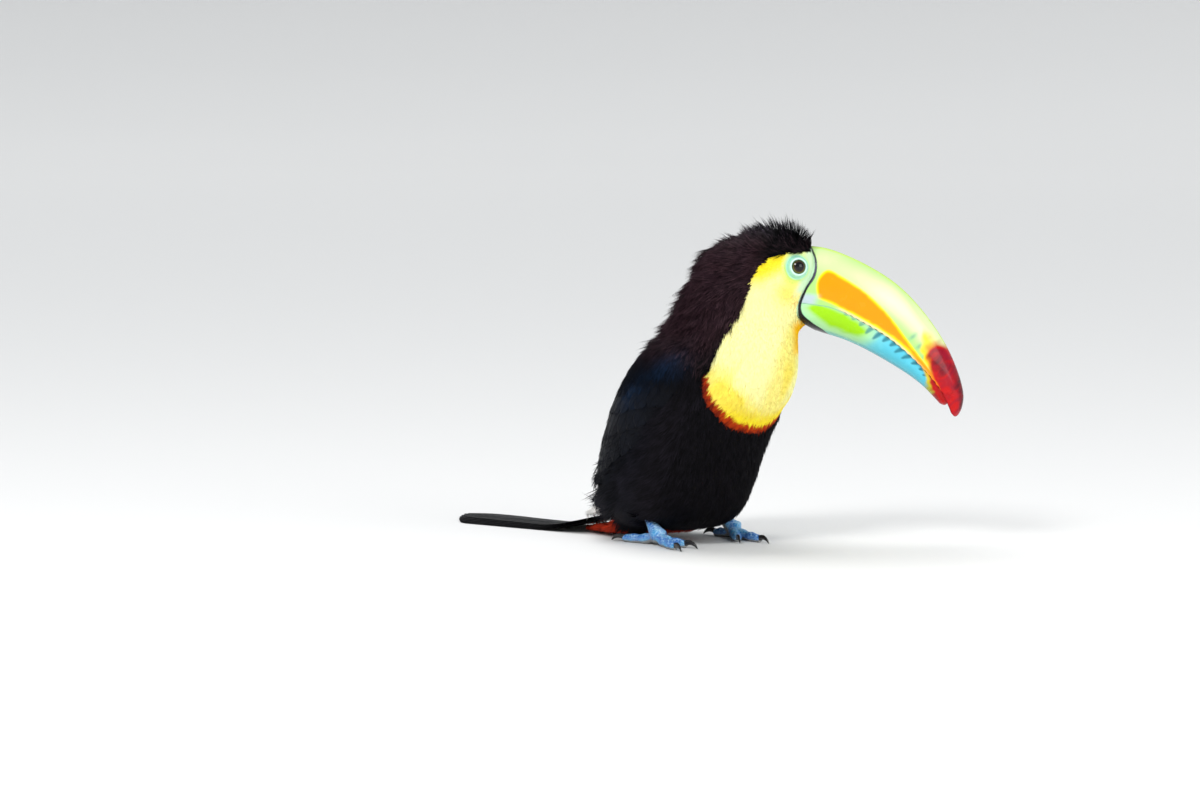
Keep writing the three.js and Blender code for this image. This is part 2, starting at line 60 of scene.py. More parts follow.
METRES = 0.001  # one millimetre
HEAD_Y = -23.0  # the head's and bill's plane of symmetry
BILL_FRONT = 169.935  # the furthest that the bill reaches
EYE = SimpleNamespace(x=65.6, z=175.2, radius=6.0, sight=4.4, ring=8.0, turn=16.0, tip=8.0, rim=1.1)
EYE_SUNK = math.sqrt(EYE.radius**2 - EYE.sight**2) - EYE.rim  # the ball's middle, under the head's surface

# The body's centre line: height, x, y and heading in degrees.
BODY_LINE = np.array([
    (6.5, -9, 8, -42), (28, -7.5, 6.8, -42), (45, -4.5, 4, -42), (70, 2.2, -2, -42),
    (88, 9.1, -8.2, -42), (107, 15.7, -14.1, -40), (126, 21, -18, -34), (139, 25, -20.5, -24),
    (151, 29, -22, -12), (164, 34, -23, 0), (176, 37, -23, 0), (205, 45, -23, 0),
])
GIRTH = np.array([(0, 45), (100, 50), (140, 40), (165, 33), (205, 28)])  # rough radius at each height

# Half of the yellow patch's outline: height, and angle from the breast's midline.
YELLOW = np.array([
    (79.8, 0), (80, 6), (82.4, 17), (87, 28), (92.5, 36.5), (98, 44.6), (102, 49.3), (106.6, 53.6),
    (112.7, 58), (118.8, 61.5), (124.9, 64), (135.9, 69), (149, 73.5), (155.3, 78), (161.4, 82),
    (167.4, 85.6), (172.9, 82.5), (176.4, 77), (179.8, 69), (182.8, 58), (183.5, 46), (183.9, 30),
    (184.1, 0),
])
RED_WIDTH = 5.4  # of the band under the yellow
RED_TOP = 113.0

# Outlines in the bill's plane of symmetry, as x and z, from the base to the tip.
CULMEN = [(68, 187), (75, 186.9), (86.8, 184.8), (110.4, 174.5), (130.5, 161), (149, 140.4),
          (162.7, 117.4), (169.9, 94), (168.1, 82.1)]
TOMIUM = [(60, 155.5), (67, 153.2), (86.4, 150), (104.6, 141.2), (123.2, 129.8), (142, 113.2),
          (154.8, 97.8), (161, 86.5), (163.4, 79.6)]
GONYS = [(66, 138), (81, 133.3), (99, 127.2), (123.6, 114.2), (142.6, 101.3), (156.6, 87.2)]
# The line where the feathers end and the bill begins, from the crown down to the throat.
BILL_SEAM = [(67, 204), (73, 192), (74.6, 186), (76.8, 178.5), (75.6, 169.7), (70.5, 161.5),
             (66.4, 151), (67.4, 145), (73, 139), (81, 134), (90, 128.5)]
BILL_HALF_WIDTH = 17.0
JAW_SHARE = 0.93  # where the lower jaw ends, as a share of the mouth line

TAIL = SimpleNamespace(feathers=10, length=150.0, width=25.0, thick=0.8)
TAIL_ROOT = SimpleNamespace(back=44.0, fan=4.5, gather=5.0, rise=12.0)
TRUNK_TURN = math.radians(-42)

# Each toe's length without its claw, and its angle from the foot's heading towards the outside.
TOES = {"inner_front": (24, -13), "outer_front": (31, 13), "outer_hind": (27, 162), "inner_hind": (16, -152)}
FEET = {"right": (-20.5, -22, -57), "left": (28, 16, -72)}  # x, y and heading
SHANK_LEAN = {"right": 180, "left": 237}  # from the foot's heading, towards the belly
CLAW_LENGTH = 10.0

SIDES = {"right": -1, "left": 1}
WINGS = ("wing_right", "wing_left")
FLESH = ["head", "neck", "bib", "trunk", *WINGS, "tail_coverts_upper", "tail_coverts_under"]
SKIN_VOXEL = 1.7
FLESH_SWELL = 0.25  # of each solid before they are joined, so that they meet

# How far the skin lies inside the solids, which go out to the tips of the plumage.
DEPTH = SimpleNamespace(body=3.0, wing=1.3, coverts=1.6, head=2.6, crown=2.3, bib=1.7, face=0.8, bare=0.5)

# ---- colours

BLACK = (0.0027, 0.0024, 0.0032)
MAROON = (0.024, 0.0095, 0.0120)
# Painted highlights for feather tips: purple-grey high on the crown and on the body, maroon on the nape.
PURPLE_TIP_HIGHLIGHT = (0.12, 0.10, 0.15)
MAROON_TIP_HIGHLIGHT = (0.13, 0.07, 0.085)
# A painted blue sheen for the black feathers.
WING_BLUE_SHEEN = (0.005, 0.034, 0.095)
CREAM = (1.0, 0.92, 0.40)
YELLOW_FEATHER = (0.96, 0.76, 0.09)
DEEP_YELLOW = (1.0, 0.76, 0.008)
# Partly the chin's own colour, partly painted shade under the bill.
CHIN_AND_SHADE = (0.95, 0.50, 0.006)
ORANGE_SPECK = (0.80, 0.30, 0.02)
RED_FEATHER = (0.44, 0.040, 0.004)
DARK_RED = (0.14, 0.011, 0.003)
UNDERTAIL = (0.42, 0.030, 0.010)
WHITE = (0.93, 0.90, 0.87)
PALE_MINT = (0.56, 0.82, 0.55)
# Painted shade round the lower rear of the eye.
LIME_SHADE = (0.50, 0.78, 0.05)
TEAL = (0.12, 0.55, 0.50)
RIM_GREEN = (0.62, 0.84, 0.34)

rng = np.random.default_rng(11)

# ---- small helpers


def ease(low, high, x):
    """0 up to low, 1 from high on, and smooth between them. It falls where low is above high."""
    t = np.clip((x - low) / (high - low), 0.0, 1.0)
    return t * t * (3 - 2 * t)


def bell(x, middle, width):
    """1 at the middle, and falling away on both sides."""
    return np.exp(-(((x - middle) / width) ** 2))


def mix(a, b, share):
    """Colours or vectors a to b, by a share for each."""
    share = np.asarray(share, float)[..., None]
    return np.asarray(a, float) * (1 - share) + np.asarray(b, float) * share


def layered(colour, *layers):
    """A colour with others laid over it one after another, each by its own share."""
    for over, share in layers:
        colour = mix(colour, over, share)
    return colour


def unit(vectors):
    return vectors / np.maximum(np.linalg.norm(vectors, axis=-1, keepdims=True), 1e-9)


def dots(a, b):
    return (a * b).sum(-1)


def stacked(*values):
    """The values side by side, along a new last axis."""
    return np.stack(np.broadcast_arrays(*values), -1)


def hump(x, low, up, down, high):
    """0 outside low and high, 1 from up to down, and smooth between them."""
    return ease(low, up, x) * ease(high, down, x)


def ripple(points, size, seed=0.0):
    """A smooth uneven pattern from -1 to 1, with lumps of about the given size."""
    x, y, z = np.moveaxis(points / size, -1, 0)
    waves = np.sin(1.7 * x + 1.1 * y + seed) + np.sin(-1.3 * y + 1.9 * z + 2.1 * seed)
    waves += np.sin(1.5 * z - 1.2 * x + 0.7 * y + 3.3 * seed)
    return np.sin(waves * 1.8 + 0.9 * np.sin(2.3 * x - 2.9 * z + seed))


def home():
    """Where the bird's own origin is in the row's frame."""
    low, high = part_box("bill_upper")
    return np.array([high.x / METRES - BILL_FRONT, (low.y + high.y) / 2 / METRES - HEAD_Y, 0.0])


HOME = home()


def in_row(points):
    """Points of the bird's own frame in the row's frame, in metres."""
    return (np.asarray(points, float) + HOME) * METRES


def curve(points, per_span=40):
    """A dense centripetal Catmull-Rom curve through a few points."""
    p = np.array(points, float)
    p = np.vstack([2 * p[0] - p[1], p, 2 * p[-1] - p[-2]])
    made = []
    for around in zip(p[:-3], p[1:-2], p[2:-1], p[3:]):
        knots = np.r_[0, np.cumsum([np.linalg.norm(b - a) ** 0.5 for a, b in zip(around, around[1:])])]
        t = np.linspace(knots[1], knots[2], per_span, endpoint=False)[:, None]
        for spans in ([(0, 1), (1, 2), (2, 3)], [(0, 2), (1, 3)], [(1, 2)]):
            pairs = zip(around, around[1:], spans)
            around = [between(a, b, knots[i], knots[j], t) for a, b, (i, j) in pairs]
        made.append(around[0])
    return np.vstack([*made, p[-2:-1]])


def between(a, b, from_t, to_t, t):
    return (to_t - t) / (to_t - from_t) * a + (t - from_t) / (to_t - from_t) * b


def run_of(line):
    """How far along a polyline each of its points is."""
    return np.r_[0, np.cumsum(np.linalg.norm(np.diff(line, axis=0), axis=1))]


def along(line, share):
    """Points at shares of a dense line's length."""
    run = run_of(line)
    return stacked(*(np.interp(np.asarray(share, float) * run[-1], run, column) for column in line.T))


def line_distance(points, line):
    """How far flat points are from a polyline, and how far along it their nearest places are."""
    best, where = np.full(len(points), np.inf), np.zeros(len(points))
    run = 0.0
    for a, b in zip(line[:-1], line[1:]):
        step = b - a
        length = np.linalg.norm(step)
        t = np.clip((points - a) @ step / length**2, 0, 1)
        far = np.linalg.norm(points - a - t[:, None] * step, axis=1)
        nearer = far < best
        best[nearer] = far[nearer]
        where[nearer] = (run + t * length)[nearer]
        run += length
    return best, where


# ---- materials


def node(tree, kind, inputs=(), **settings):
    """A new node. inputs gives an input's value, or another node's output, for its name or number."""
    made = tree.nodes.new(f"ShaderNode{kind}")
    for name, value in settings.items():
        setattr(made, name, value)
    for key, value in dict(inputs).items():
        if isinstance(value, bpy.types.NodeSocket):
            tree.links.new(value, made.inputs[key])
        else:
            made.inputs[key].default_value = value
    return made


def node_material(name, roughness, wear, wear_size=400.0, bump=0.0, bump_size=900.0, barbs=0.0, **shader):
    """A surface coloured by the mesh's own markings, uneven in tone and roughness, with a fine bump.

    barbs is how many fine lines a millimetre of the mesh's Barb attribute holds."""
    material = bpy.data.materials.new(name)
    material.use_nodes = True
    tree = material.node_tree
    surface = tree.nodes["Principled BSDF"]
    for socket, value in shader.items():
        surface.inputs[socket.replace("_", " ")].default_value = value
    marks = node(tree, "Attribute", attribute_name="Marking").outputs["Color"]
    where = node(tree, "TexCoord").outputs["Object"]
    tone = node(tree, "TexNoise", {"Vector": where, "Scale": wear_size, "Detail": 4.0}).outputs["Fac"]

    def spread(low, high):
        return node(tree, "MapRange", {"Value": tone, "To Min": low, "To Max": high}).outputs["Result"]

    shade = node(tree, "VectorMath", {0: marks, "Scale": spread(1 - wear, 1 + wear)}, operation="SCALE")
    tree.links.new(shade.outputs["Vector"], surface.inputs["Base Color"])
    tree.links.new(spread(roughness * 0.8, roughness * 1.2), surface.inputs["Roughness"])
    if bump:
        grain = node(tree, "TexNoise", {"Vector": where, "Scale": bump_size, "Detail": 3.0}).outputs["Fac"]
        height = barb_lines(tree, grain, barbs) if barbs else grain
        relief = node(tree, "Bump", {"Height": height, "Strength": bump, "Distance": 0.0003})
        tree.links.new(relief.outputs["Normal"], surface.inputs["Normal"])
    return material


def barb_lines(tree, grain, barbs):
    """The height of a feather's barbs, which its grain makes a little uneven."""
    run = node(tree, "Attribute", attribute_name="Barb").outputs["Fac"]
    stray = node(tree, "Math", {0: grain, 1: 7.0}, operation="MULTIPLY").outputs["Value"]
    turn = node(tree, "Math", {0: run, 1: barbs * 2 * math.pi, 2: stray}, operation="MULTIPLY_ADD")
    return node(tree, "Math", {0: turn.outputs["Value"]}, operation="SINE").outputs["Value"]


FEATHER = node_material("feather", 0.5, wear=0.2, wear_size=260, Specular_IOR_Level=0.05)
PALE_FEATHER = node_material("pale_feather", 0.7, wear=0.06, wear_size=200, Specular_IOR_Level=0.08)
VANE = node_material("vane", 0.42, wear=0.2, wear_size=250, bump=0.4, bump_size=420, barbs=1.3,
                     Specular_IOR_Level=0.06)
SKIN = node_material("plumage_skin", 0.8, wear=0.1, bump=0.3, bump_size=700, Specular_IOR_Level=0.05)
HORN = node_material("bill_horn", 0.26, wear=0.05, wear_size=120, bump=0.1, bump_size=260,
                     Specular_IOR_Level=0.16, Coat_Weight=0.24, Coat_Roughness=0.05)
BARE = node_material("bare_skin", 0.5, wear=0.08, wear_size=600, bump=0.35, bump_size=1400,
                     Specular_IOR_Level=0.35)
SCALE = node_material("foot_scale", 0.42, wear=0.15, wear_size=700, bump=0.3, bump_size=1600)
CLAW = node_material("claw_horn", 0.25, wear=0.2, wear_size=900, bump=0.1, bump_size=1200)
CORNEA = node_material("eye_wet", 0.05, wear=0.1, wear_size=1500, Specular_IOR_Level=0.4)

# ---- making a piece


def turned_out(points, faces):
    """The faces of one or more closed solids that are all wound the same way, turned to face out."""
    a, b, c, d = (points[faces[:, k]] for k in (0, 1, 2, -1))
    volume = dots(a, np.cross(b, c)).sum() + dots(a, np.cross(c, d)).sum()
    return faces[:, ::-1] if volume < 0 else faces


def put(name, data):
    """An object of the scene that holds the data."""
    made = bpy.data.objects.new(name, data)
    bpy.context.scene.collection.objects.link(made)
    return made


def floats(values):
    return values.astype(np.float32).ravel()


UNDER_ALL = (-math.inf, -math.inf, 0.0)  # the lowest place that a point can have


def piece(name, points, faces, colours, material, replaces=(), uv=None, barb=None, shading=None):
    """A finished mesh of the root body, from points in the bird's own frame and faces of equal size.

    shading is the points' own normals, and which faces are shaded from the other side."""
    mesh = bpy.data.meshes.new(name)
    faces = turned_out(points, np.asarray(faces, np.int32))
    mesh.vertices.add(len(points))
    mesh.vertices.foreach_set("co", floats(in_row(np.maximum(points, UNDER_ALL))))
    mesh.loops.add(faces.size)
    mesh.loops.foreach_set("vertex_index", faces.ravel())
    mesh.polygons.add(len(faces))
    mesh.polygons.foreach_set("loop_start", np.arange(0, faces.size, faces.shape[1], dtype=np.int32))
    mesh.update(calc_edges=True)
    mesh.shade_smooth()
    marks = mesh.color_attributes.new("Marking", "FLOAT_COLOR", "POINT")
    marks.data.foreach_set("color", floats(np.insert(np.clip(colours, 0, 1), 3, 1.0, axis=1)))
    if uv is not None:
        mesh.uv_layers.new(name="OFBake").data.foreach_set("uv", floats(uv[faces.ravel()]))
    if barb is not None:
        mesh.attributes.new("Barb", "FLOAT", "POINT").data.foreach_set("value", floats(barb))
    if shading is not None:
        normals, under = shading
        corners = normals[faces] * np.where(under, -1.0, 1.0)[:, None, None]
        mesh.normals_split_custom_set(corners.reshape(-1, 3).tolist())
    mesh.materials.append(material)
    made = put(name, mesh)
    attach(made, "root")
    if replaces:
        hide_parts(*replaces)
    return made


def grid_faces(rows, columns):
    """Two triangles for each cell of a grid of points, row after row, whose columns close on themselves."""
    r, c = np.mgrid[: rows - 1, :columns]
    a = r * columns + c
    b = r * columns + (c + 1) % columns
    return halved(np.stack([a, b, b + columns, a + columns], -1).reshape(-1, 4))


def halved(quads):
    """The two triangles of each quad."""
    return np.vstack([quads[:, :3], quads[:, [0, 2, 3]]])


def loft_faces(rows, columns):
    """A grid with a fan over each end. The fans' hubs are the two points after the grid's own."""
    c = np.arange(columns)
    after = (c + 1) % columns
    hub, last = rows * columns, (rows - 1) * columns
    first = np.stack([np.full(columns, hub), after, c], -1)
    end = np.stack([np.full(columns, hub + 1), last + c, last + after], -1)
    return np.vstack([grid_faces(rows, columns), first, end])


def closed_loft(rings):
    """Points and triangles of a closed solid through rings of shape (rings, points, 3)."""
    points = np.vstack([rings.reshape(-1, 3), rings[0].mean(0), rings[-1].mean(0)])
    return points, loft_faces(*rings.shape[:2])


def tube_rings(line, radii, sides, flat=1.0):
    """Rings round a dense line. flat squeezes them towards the line's own upright plane."""
    forward = unit(np.gradient(line, axis=0))
    across = unit(np.cross(forward, [0, 0, 1.0]))
    up = np.cross(across, forward)
    angle = turns(sides)[:, None]
    radii = np.asarray(radii, float)[:, None, None]
    return line[:, None] + radii * (np.cos(angle) * across[:, None] * flat + np.sin(angle) * up[:, None])


def turns(sides):
    """Angles evenly round a circle."""
    return np.linspace(0, 2 * math.pi, sides, endpoint=False)


# ---- places on the body and their colours


def body_line(z):
    """The body's middle at each height, and its heading."""
    x, y, heading = (np.interp(z, BODY_LINE[:, 0], BODY_LINE[:, k]) for k in (1, 2, 3))
    return x, y, np.radians(heading)


def body_place(p):
    """The angle from the breast's midline towards the bird's right, and the heading, at points."""
    x, y, heading = body_line(p[:, 2])
    dx, dy = p[:, 0] - x, p[:, 1] - y
    ahead = dx * np.cos(heading) + dy * np.sin(heading)
    right = dx * np.sin(heading) - dy * np.cos(heading)
    return np.degrees(np.arctan2(right, ahead)), heading


def seam_x(z):
    """How far ahead the feathers reach at each height, where the bill begins."""
    seam = np.array(BILL_SEAM[::-1], float)
    return np.interp(z, seam[:, 1], seam[:, 0])


def yellow_edge(z, phi):
    """Distance outside the yellow patch's outline, negative inside it."""
    outline = stacked(YELLOW[:, 0], np.radians(YELLOW[:, 1]) * np.interp(YELLOW[:, 0], *GIRTH.T))
    out = np.radians(np.abs(phi)) * np.interp(z, *GIRTH.T)
    far, _ = line_distance(stacked(z, out), outline)
    inside = (z > YELLOW[0, 0]) & (z < YELLOW[-1, 0]) & (out < np.interp(z, *outline.T))
    return np.where(inside, -far, far)


def eye_seat(side):
    """Where an eye sits on the head, and the way it looks."""
    turn, tip = math.radians(EYE.turn), math.radians(EYE.tip)
    across = SIDES[side] * math.cos(turn) * math.cos(tip)
    look = np.array([math.sin(turn) * math.cos(tip), across, math.sin(tip)])
    low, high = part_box(f"eye_{side}")
    return np.array((low + high) / 2) / METRES - HOME + look * EYE_SUNK, look


SEATS = {side: eye_seat(side) for side in SIDES}


def eye_distance(p):
    """Distance from the nearer eye's middle, square to the way it looks."""
    best = np.full(len(p), np.inf)
    for middle, look in SEATS.values():
        off = p - middle
        depth = off @ look
        flat = np.linalg.norm(off - depth[:, None] * look, axis=1)
        best = np.minimum(best, np.where(np.abs(depth) < 9, flat, np.inf))
    return best


def spots(p, n, part):
    """What the markings and the coat need to know of places on the skin."""
    phi, heading = body_place(p)
    return SimpleNamespace(
        p=p, n=n, part=part, x=p[:, 0], z=p[:, 2], phi=phi, side=np.abs(phi), heading=heading,
        edge=yellow_edge(p[:, 2], phi), eye=eye_distance(p), ahead=p[:, 0] - seam_x(p[:, 2]),
    )


def is_part(s, *names):
    return np.isin(s.part, [FLESH.index(name) for name in names])


def marking(s):
    """The bird's colours at places on its skin."""
    nape = ease(112, 140, s.z) * ease(60, 84, s.side) * (1 - 0.75 * ease(186, 198, s.z))
    dark = layered(
        BLACK,
        (MAROON, nape),
        # A painted dark blue sheen on the wing.
        (WING_BLUE_SHEEN, 0.3 * painted_wing_sheen(s.p, s.side)),
        (UNDERTAIL, is_part(s, "tail_coverts_under") | between_legs(s)),
        (WHITE, is_part(s, "tail_coverts_upper")),
    )
    # A red band lies under the yellow.
    width = RED_WIDTH * (1 - 0.8 * ease(46, 68, s.side))
    band = (s.z < RED_TOP) & (s.edge > 0) & (s.edge < width)
    out = s.edge / np.maximum(width, 0.1) + 0.3 * ripple(s.p, 4) + 0.5 * ease(26, 56, s.side)
    dark = np.where(band[:, None], mix(RED_FEATHER, DARK_RED, ease(0.25, 1.05, out)), dark)
    deep = np.maximum(
        ease(-9, -1, s.edge) * (1 - ease(84, 98, s.z)),
        ease(-10, -3, s.edge) * ease(166, 174, s.z),
    )
    # Deep orange-yellow just under the bill's base: partly the chin's own colour, partly painted shade under
    # the bill.
    chin = ease(60, 66, s.x) * hump(s.z, 122, 128, 139, 146)
    yellow = layered(CREAM, (YELLOW_FEATHER, yellowness(s)), (DEEP_YELLOW, 0.8 * deep), (CHIN_AND_SHADE, chin))
    return np.where((s.edge < 0)[:, None], bare_tint(s, yellow), dark)


def painted_wing_sheen(p, side):
    """A dark blue sheen painted into the colour on the shoulder and along the wing's edge."""
    shoulder = bell(side, 96, 13) * bell(p[:, 2], 118, 7)
    edge = bell(side, 112, 11) * bell(p[:, 2], 98, 12)
    return np.clip(shoulder + 0.85 * edge + 0.12 * ease(70, 90, side), 0, 1) * (0.8 + 0.2 * ripple(p, 5))


def between_legs(s):
    """The underside's rear, where the red of the vent reaches forward to the legs."""
    return is_part(s, "trunk") & (s.n[:, 2] < -0.45) & (np.hypot(s.x + 7, s.p[:, 1] - 2) < 14)


def yellowness(s):
    """From cream in the middle of the bib and cheek to a full yellow round them."""
    low = ease(-18, -4, s.edge) * (1 - ease(102, 124, s.z))
    front = 0.55 * (1 - ease(6, 20, s.side)) * (1 - ease(136, 150, s.z))
    face = ease(-16, -6, s.edge) * ease(160, 172, s.z)
    cheek = 0.75 * np.exp(-((s.x - 60) ** 2 + (s.z - 160) ** 2) / 60)
    patch = 0.35 * ease(0.2, 1.0, ripple(s.p, 14, 4.0)) * (1 - ease(112, 130, s.z))
    return np.clip(np.maximum.reduce([low, front, face, cheek]) + patch, 0, 1)


def bare_tint(s, colour):
    """Green and pale mint skin round the eye and along the bill's base, with a painted lime shade below and
    behind the eye.
    """
    below = ease(2, -8, s.z - EYE.z) * ease(4, -2, s.x - EYE.x)
    strip = ease(-8.0, -3.5, s.ahead) * hump(s.z, 156.5, 161, 184, 187)
    return layered(
        colour,
        # Painted shade: a lime crescent below and behind the eye.
        (LIME_SHADE, 0.7 * ease(13, 8.8, s.eye) * below),
        (RIM_GREEN, 0.9 * ease(11, 8.6, s.eye) * (1 - 0.85 * below)),
        (PALE_MINT, 0.9 * strip),
    )


# ---- the skin


def coat_depth(s):
    """The coat's depth at places on the skin."""
    crown = ease(183, 196, s.z) * ease(-66, -45, s.ahead)
    depth = np.full(len(s.p), DEPTH.body)
    depth = np.where(is_part(s, *WINGS), DEPTH.wing, depth)
    depth = np.where(is_part(s, "tail_coverts_upper", "tail_coverts_under"), DEPTH.coverts, depth)
    depth = np.where(is_part(s, "head", "neck"), DEPTH.head + DEPTH.crown * crown, depth)
    inside = ease(2, -4, s.edge)
    yellow = DEPTH.bib + (DEPTH.face - DEPTH.bib) * ease(120, 160, s.z)
    depth = depth * (1 - inside) + inside * yellow
    near_bill = ease(-9, -3, s.ahead) * ease(128, 134, s.z)
    bare = np.maximum(ease(14, 9.5, s.eye), near_bill * (1 - 0.8 * crown))
    return depth * (1 - bare) + DEPTH.bare * bare


def got(data, name, width, kind=np.float32):
    """A property of every element of a mesh's data, width numbers for each, in one row."""
    values = np.empty(len(data) * width, kind)
    data.foreach_get(name, values)
    return values


def mesh_arrays(mesh):
    """A mesh's points and its faces, which are all quads."""
    points = got(mesh.vertices, "co", 3).astype(float)
    return points.reshape(-1, 3), got(mesh.loops, "vertex_index", 1, np.int32).reshape(-1, 4)


def bmesh_of(mesh):
    bm = bmesh.new()
    bm.from_mesh(mesh)
    return bm


def mesh_of(bm):
    """A mesh of what bm holds, which is freed."""
    mesh = bpy.data.meshes.new("flesh")
    bm.to_mesh(mesh)
    bm.free()
    return mesh


def remeshed(bm, voxel):
    """One closed surface of quads over everything in bm, which is in metres."""
    holder = put("flesh", mesh_of(bm))
    remesh = holder.modifiers.new("remesh", "REMESH")
    remesh.mode = "VOXEL"
    remesh.voxel_size = voxel * METRES
    made = bpy.data.meshes.new_from_object(holder.evaluated_get(bpy.context.evaluated_depsgraph_get()))
    bpy.data.objects.remove(holder)
    return made


def neighbours(count, faces):
    """Every edge of a mesh, both ways, and how many each vertex has."""
    edges = np.vstack([faces[:, [k, (k + 1) % faces.shape[1]]] for k in range(faces.shape[1])])
    edges = np.unique(np.sort(edges, axis=1), axis=0)
    both = np.vstack([edges, edges[:, ::-1]])
    return both, np.maximum(np.bincount(both[:, 0], minlength=count), 1)


def smoothed(values, links, rounds, strength=0.6):
    """Values at a mesh's vertices, evened out over its edges."""
    edges, count = links
    shape = values.reshape(len(values), -1)
    for _ in range(rounds):
        sums = np.stack([np.bincount(edges[:, 0], column[edges[:, 1]], len(count)) for column in shape.T], 1)
        shape = shape + strength * (sums / count[:, None] - shape)
    return shape.reshape(values.shape)


def face_normals(corners):
    """Normals of quads as long as twice their area, from corners of shape (faces, 4, 3)."""
    return np.cross(corners[:, 2] - corners[:, 0], corners[:, 3] - corners[:, 1])


def vertex_normals(points, faces):
    normals = face_normals(points[faces])
    made = np.zeros_like(points)
    for k in range(4):
        for axis in range(3):
            made[:, axis] += np.bincount(faces[:, k], normals[:, axis], len(points))
    return unit(made)


def biggest_island(bm):
    """Leaves only the largest connected surface in bm."""
    left, best = set(bm.verts), set()
    while left:
        front = [left.pop()]
        island = set(front)
        while front:
            near = {vert for edge in front.pop().link_edges for vert in edge.verts} & left
            left -= near
            island |= near
            front += near
        best = max(best, island, key=len)
    bmesh.ops.delete(bm, geom=[vert for vert in bm.verts if vert not in best], context="VERTS")
    return bm


def flesh_solids():
    """The CAD nodes of flesh in one bmesh, each swollen a little."""
    whole = bmesh.new()
    for name in FLESH:
        bm = bmesh_of(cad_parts[name].data)
        bmesh.ops.remove_doubles(bm, verts=bm.verts, dist=1e-6)
        bm.normal_update()
        for vert in bm.verts:
            vert.co += vert.normal * FLESH_SWELL * METRES
        whole.from_mesh(mesh_of(bm))
    return whole


def flesh_tree():
    """A search tree over the CAD nodes of flesh, and the node of each of its faces."""
    points, faces, owner = [], [], []
    for number, name in enumerate(FLESH):
        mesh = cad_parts[name].data
        faces += [[len(points) + i for i in face.vertices] for face in mesh.polygons]
        points += [vert.co for vert in mesh.vertices]
        owner += [number] * len(mesh.polygons)
    return BVHTree.FromPolygons(points, faces), np.array(owner)


def nearest(tree, points):
    """The nearest places on a tree's surface, the ways out there, and their faces."""
    found = [tree.find_nearest(p)[:3] for p in points.tolist()]
    return [np.array(column) for column in zip(*found)]


FLESH_TREE, FLESH_OWNER = flesh_tree()


def owners(points):
    """Which CAD node of flesh each point is nearest to."""
    return FLESH_OWNER[nearest(FLESH_TREE, in_row(points))[2]]


def make_skin():
    """The skin's points, faces and normals: the flesh in one, smoothed and drawn in by the coat's depth."""
    mesh = remeshed(flesh_solids(), SKIN_VOXEL)
    points, faces = mesh_arrays(mesh)
    links = neighbours(len(points), faces)
    points = smoothed(points / METRES - HOME, links, 6)
    normals = vertex_normals(points, faces)
    depth = smoothed(coat_depth(spots(points, normals, owners(points))), links, 12)
    points = points - smoothed(normals, links, 3) * depth[:, None]
    mesh.vertices.foreach_set("co", floats(in_row(points)))
    mesh = mesh_of(biggest_island(bmesh_of(remeshed(bmesh_of(mesh), SKIN_VOXEL))))
    points, faces = mesh_arrays(mesh)
    points = smoothed(points / METRES - HOME, neighbours(len(points), faces), 4)
    return points, faces, vertex_normals(points, faces)


def unwrapped(made):
    """Lays the skin out flat in its OFBake map, and returns the map's place of each face corner."""
    bpy.context.view_layer.objects.active = made
    made.select_set(True)
    bpy.ops.object.mode_set(mode="EDIT")
    bpy.ops.mesh.select_all(action="SELECT")
    bpy.ops.uv.smart_project(angle_limit=math.radians(66), island_margin=0.008, scale_to_bounds=False)
    bpy.ops.object.mode_set(mode="OBJECT")
    made.select_set(False)
    return got(made.data.uv_layers["OFBake"].data, "uv", 2).astype(float).reshape(-1, 4, 2)


skin_points, skin_faces, skin_normals = make_skin()
skin_part = owners(skin_points)
skin_colours = marking(spots(skin_points, skin_normals, skin_part))
skin = piece(
    "skin", skin_points, skin_faces, skin_colours, SKIN, FLESH,
    uv=np.zeros((len(skin_points), 2)),
)
skin_uv = unwrapped(skin)
SKIN_TREE = BVHTree.FromPolygons(skin_points.tolist(), skin_faces.tolist())


def on_skin(points, lift):
    """The nearest places on the skin, lifted off it, and the way out there."""
    at, out, _ = nearest(SKIN_TREE, points)
    return at + out * lift[:, None], out


def met(starts, ways):
    """Where rays meet the skin, and the ways out there."""
    found = [SKIN_TREE.ray_cast(*ray)[:2] for ray in zip(starts.tolist(), ways.tolist())]
    return [np.array(column) for column in zip(*found)]


# ---- the coat

# Each sort of feather: its slot, the tufts on a square millimetre, a blade's length, the blades in a
# tuft, a blade's width, how far its tip stands off the skin, how far the blades spread as a share of
# their length, how unevenly they lift and curl, and how uneven their tone is.
COAT_COLUMNS = ("slot", "per_mm", "length", "blades", "width", "rise", "fan", "loose", "uneven")
COAT = {
    "face": ("yellow_feathers", 1.5, 3.2, 3, 0.36, 0.2, 0.2, 0.22, 0.05),
    "bib": ("yellow_feathers", 0.8, 8.0, 5, 0.6, 0.5, 0.13, 0.13, 0.05),
    "crown": ("maroon_feathers", 1.0, 6.4, 4, 0.36, 4.3, 0.1, 1.1, 0.16),
    "nape": ("maroon_feathers", 0.6, 8.5, 5, 0.38, 2.9, 0.13, 1.0, 0.16),
    "breast": ("black_feathers", 0.4, 10.0, 5, 0.5, 2.4, 0.14, 0.7, 0.16),
    "flank": ("black_feathers", 0.42, 14.0, 6, 0.4, 3.2, 0.16, 0.9, 0.16),
    "back": ("black_feathers", 0.4, 10.5, 5, 0.5, 2.5, 0.14, 0.8, 0.16),
    "wing": ("black_feathers", 0.42, 10.0, 4, 0.55, 1.5, 0.2, 0.5, 0.16),
    "rump": ("white_feathers", 0.7, 11.0, 6, 0.4, 1.3, 0.14, 0.5, 0.05),
    "vent": ("red_feathers", 0.6, 11.0, 6, 0.4, 1.3, 0.14, 0.5, 0.16),
}
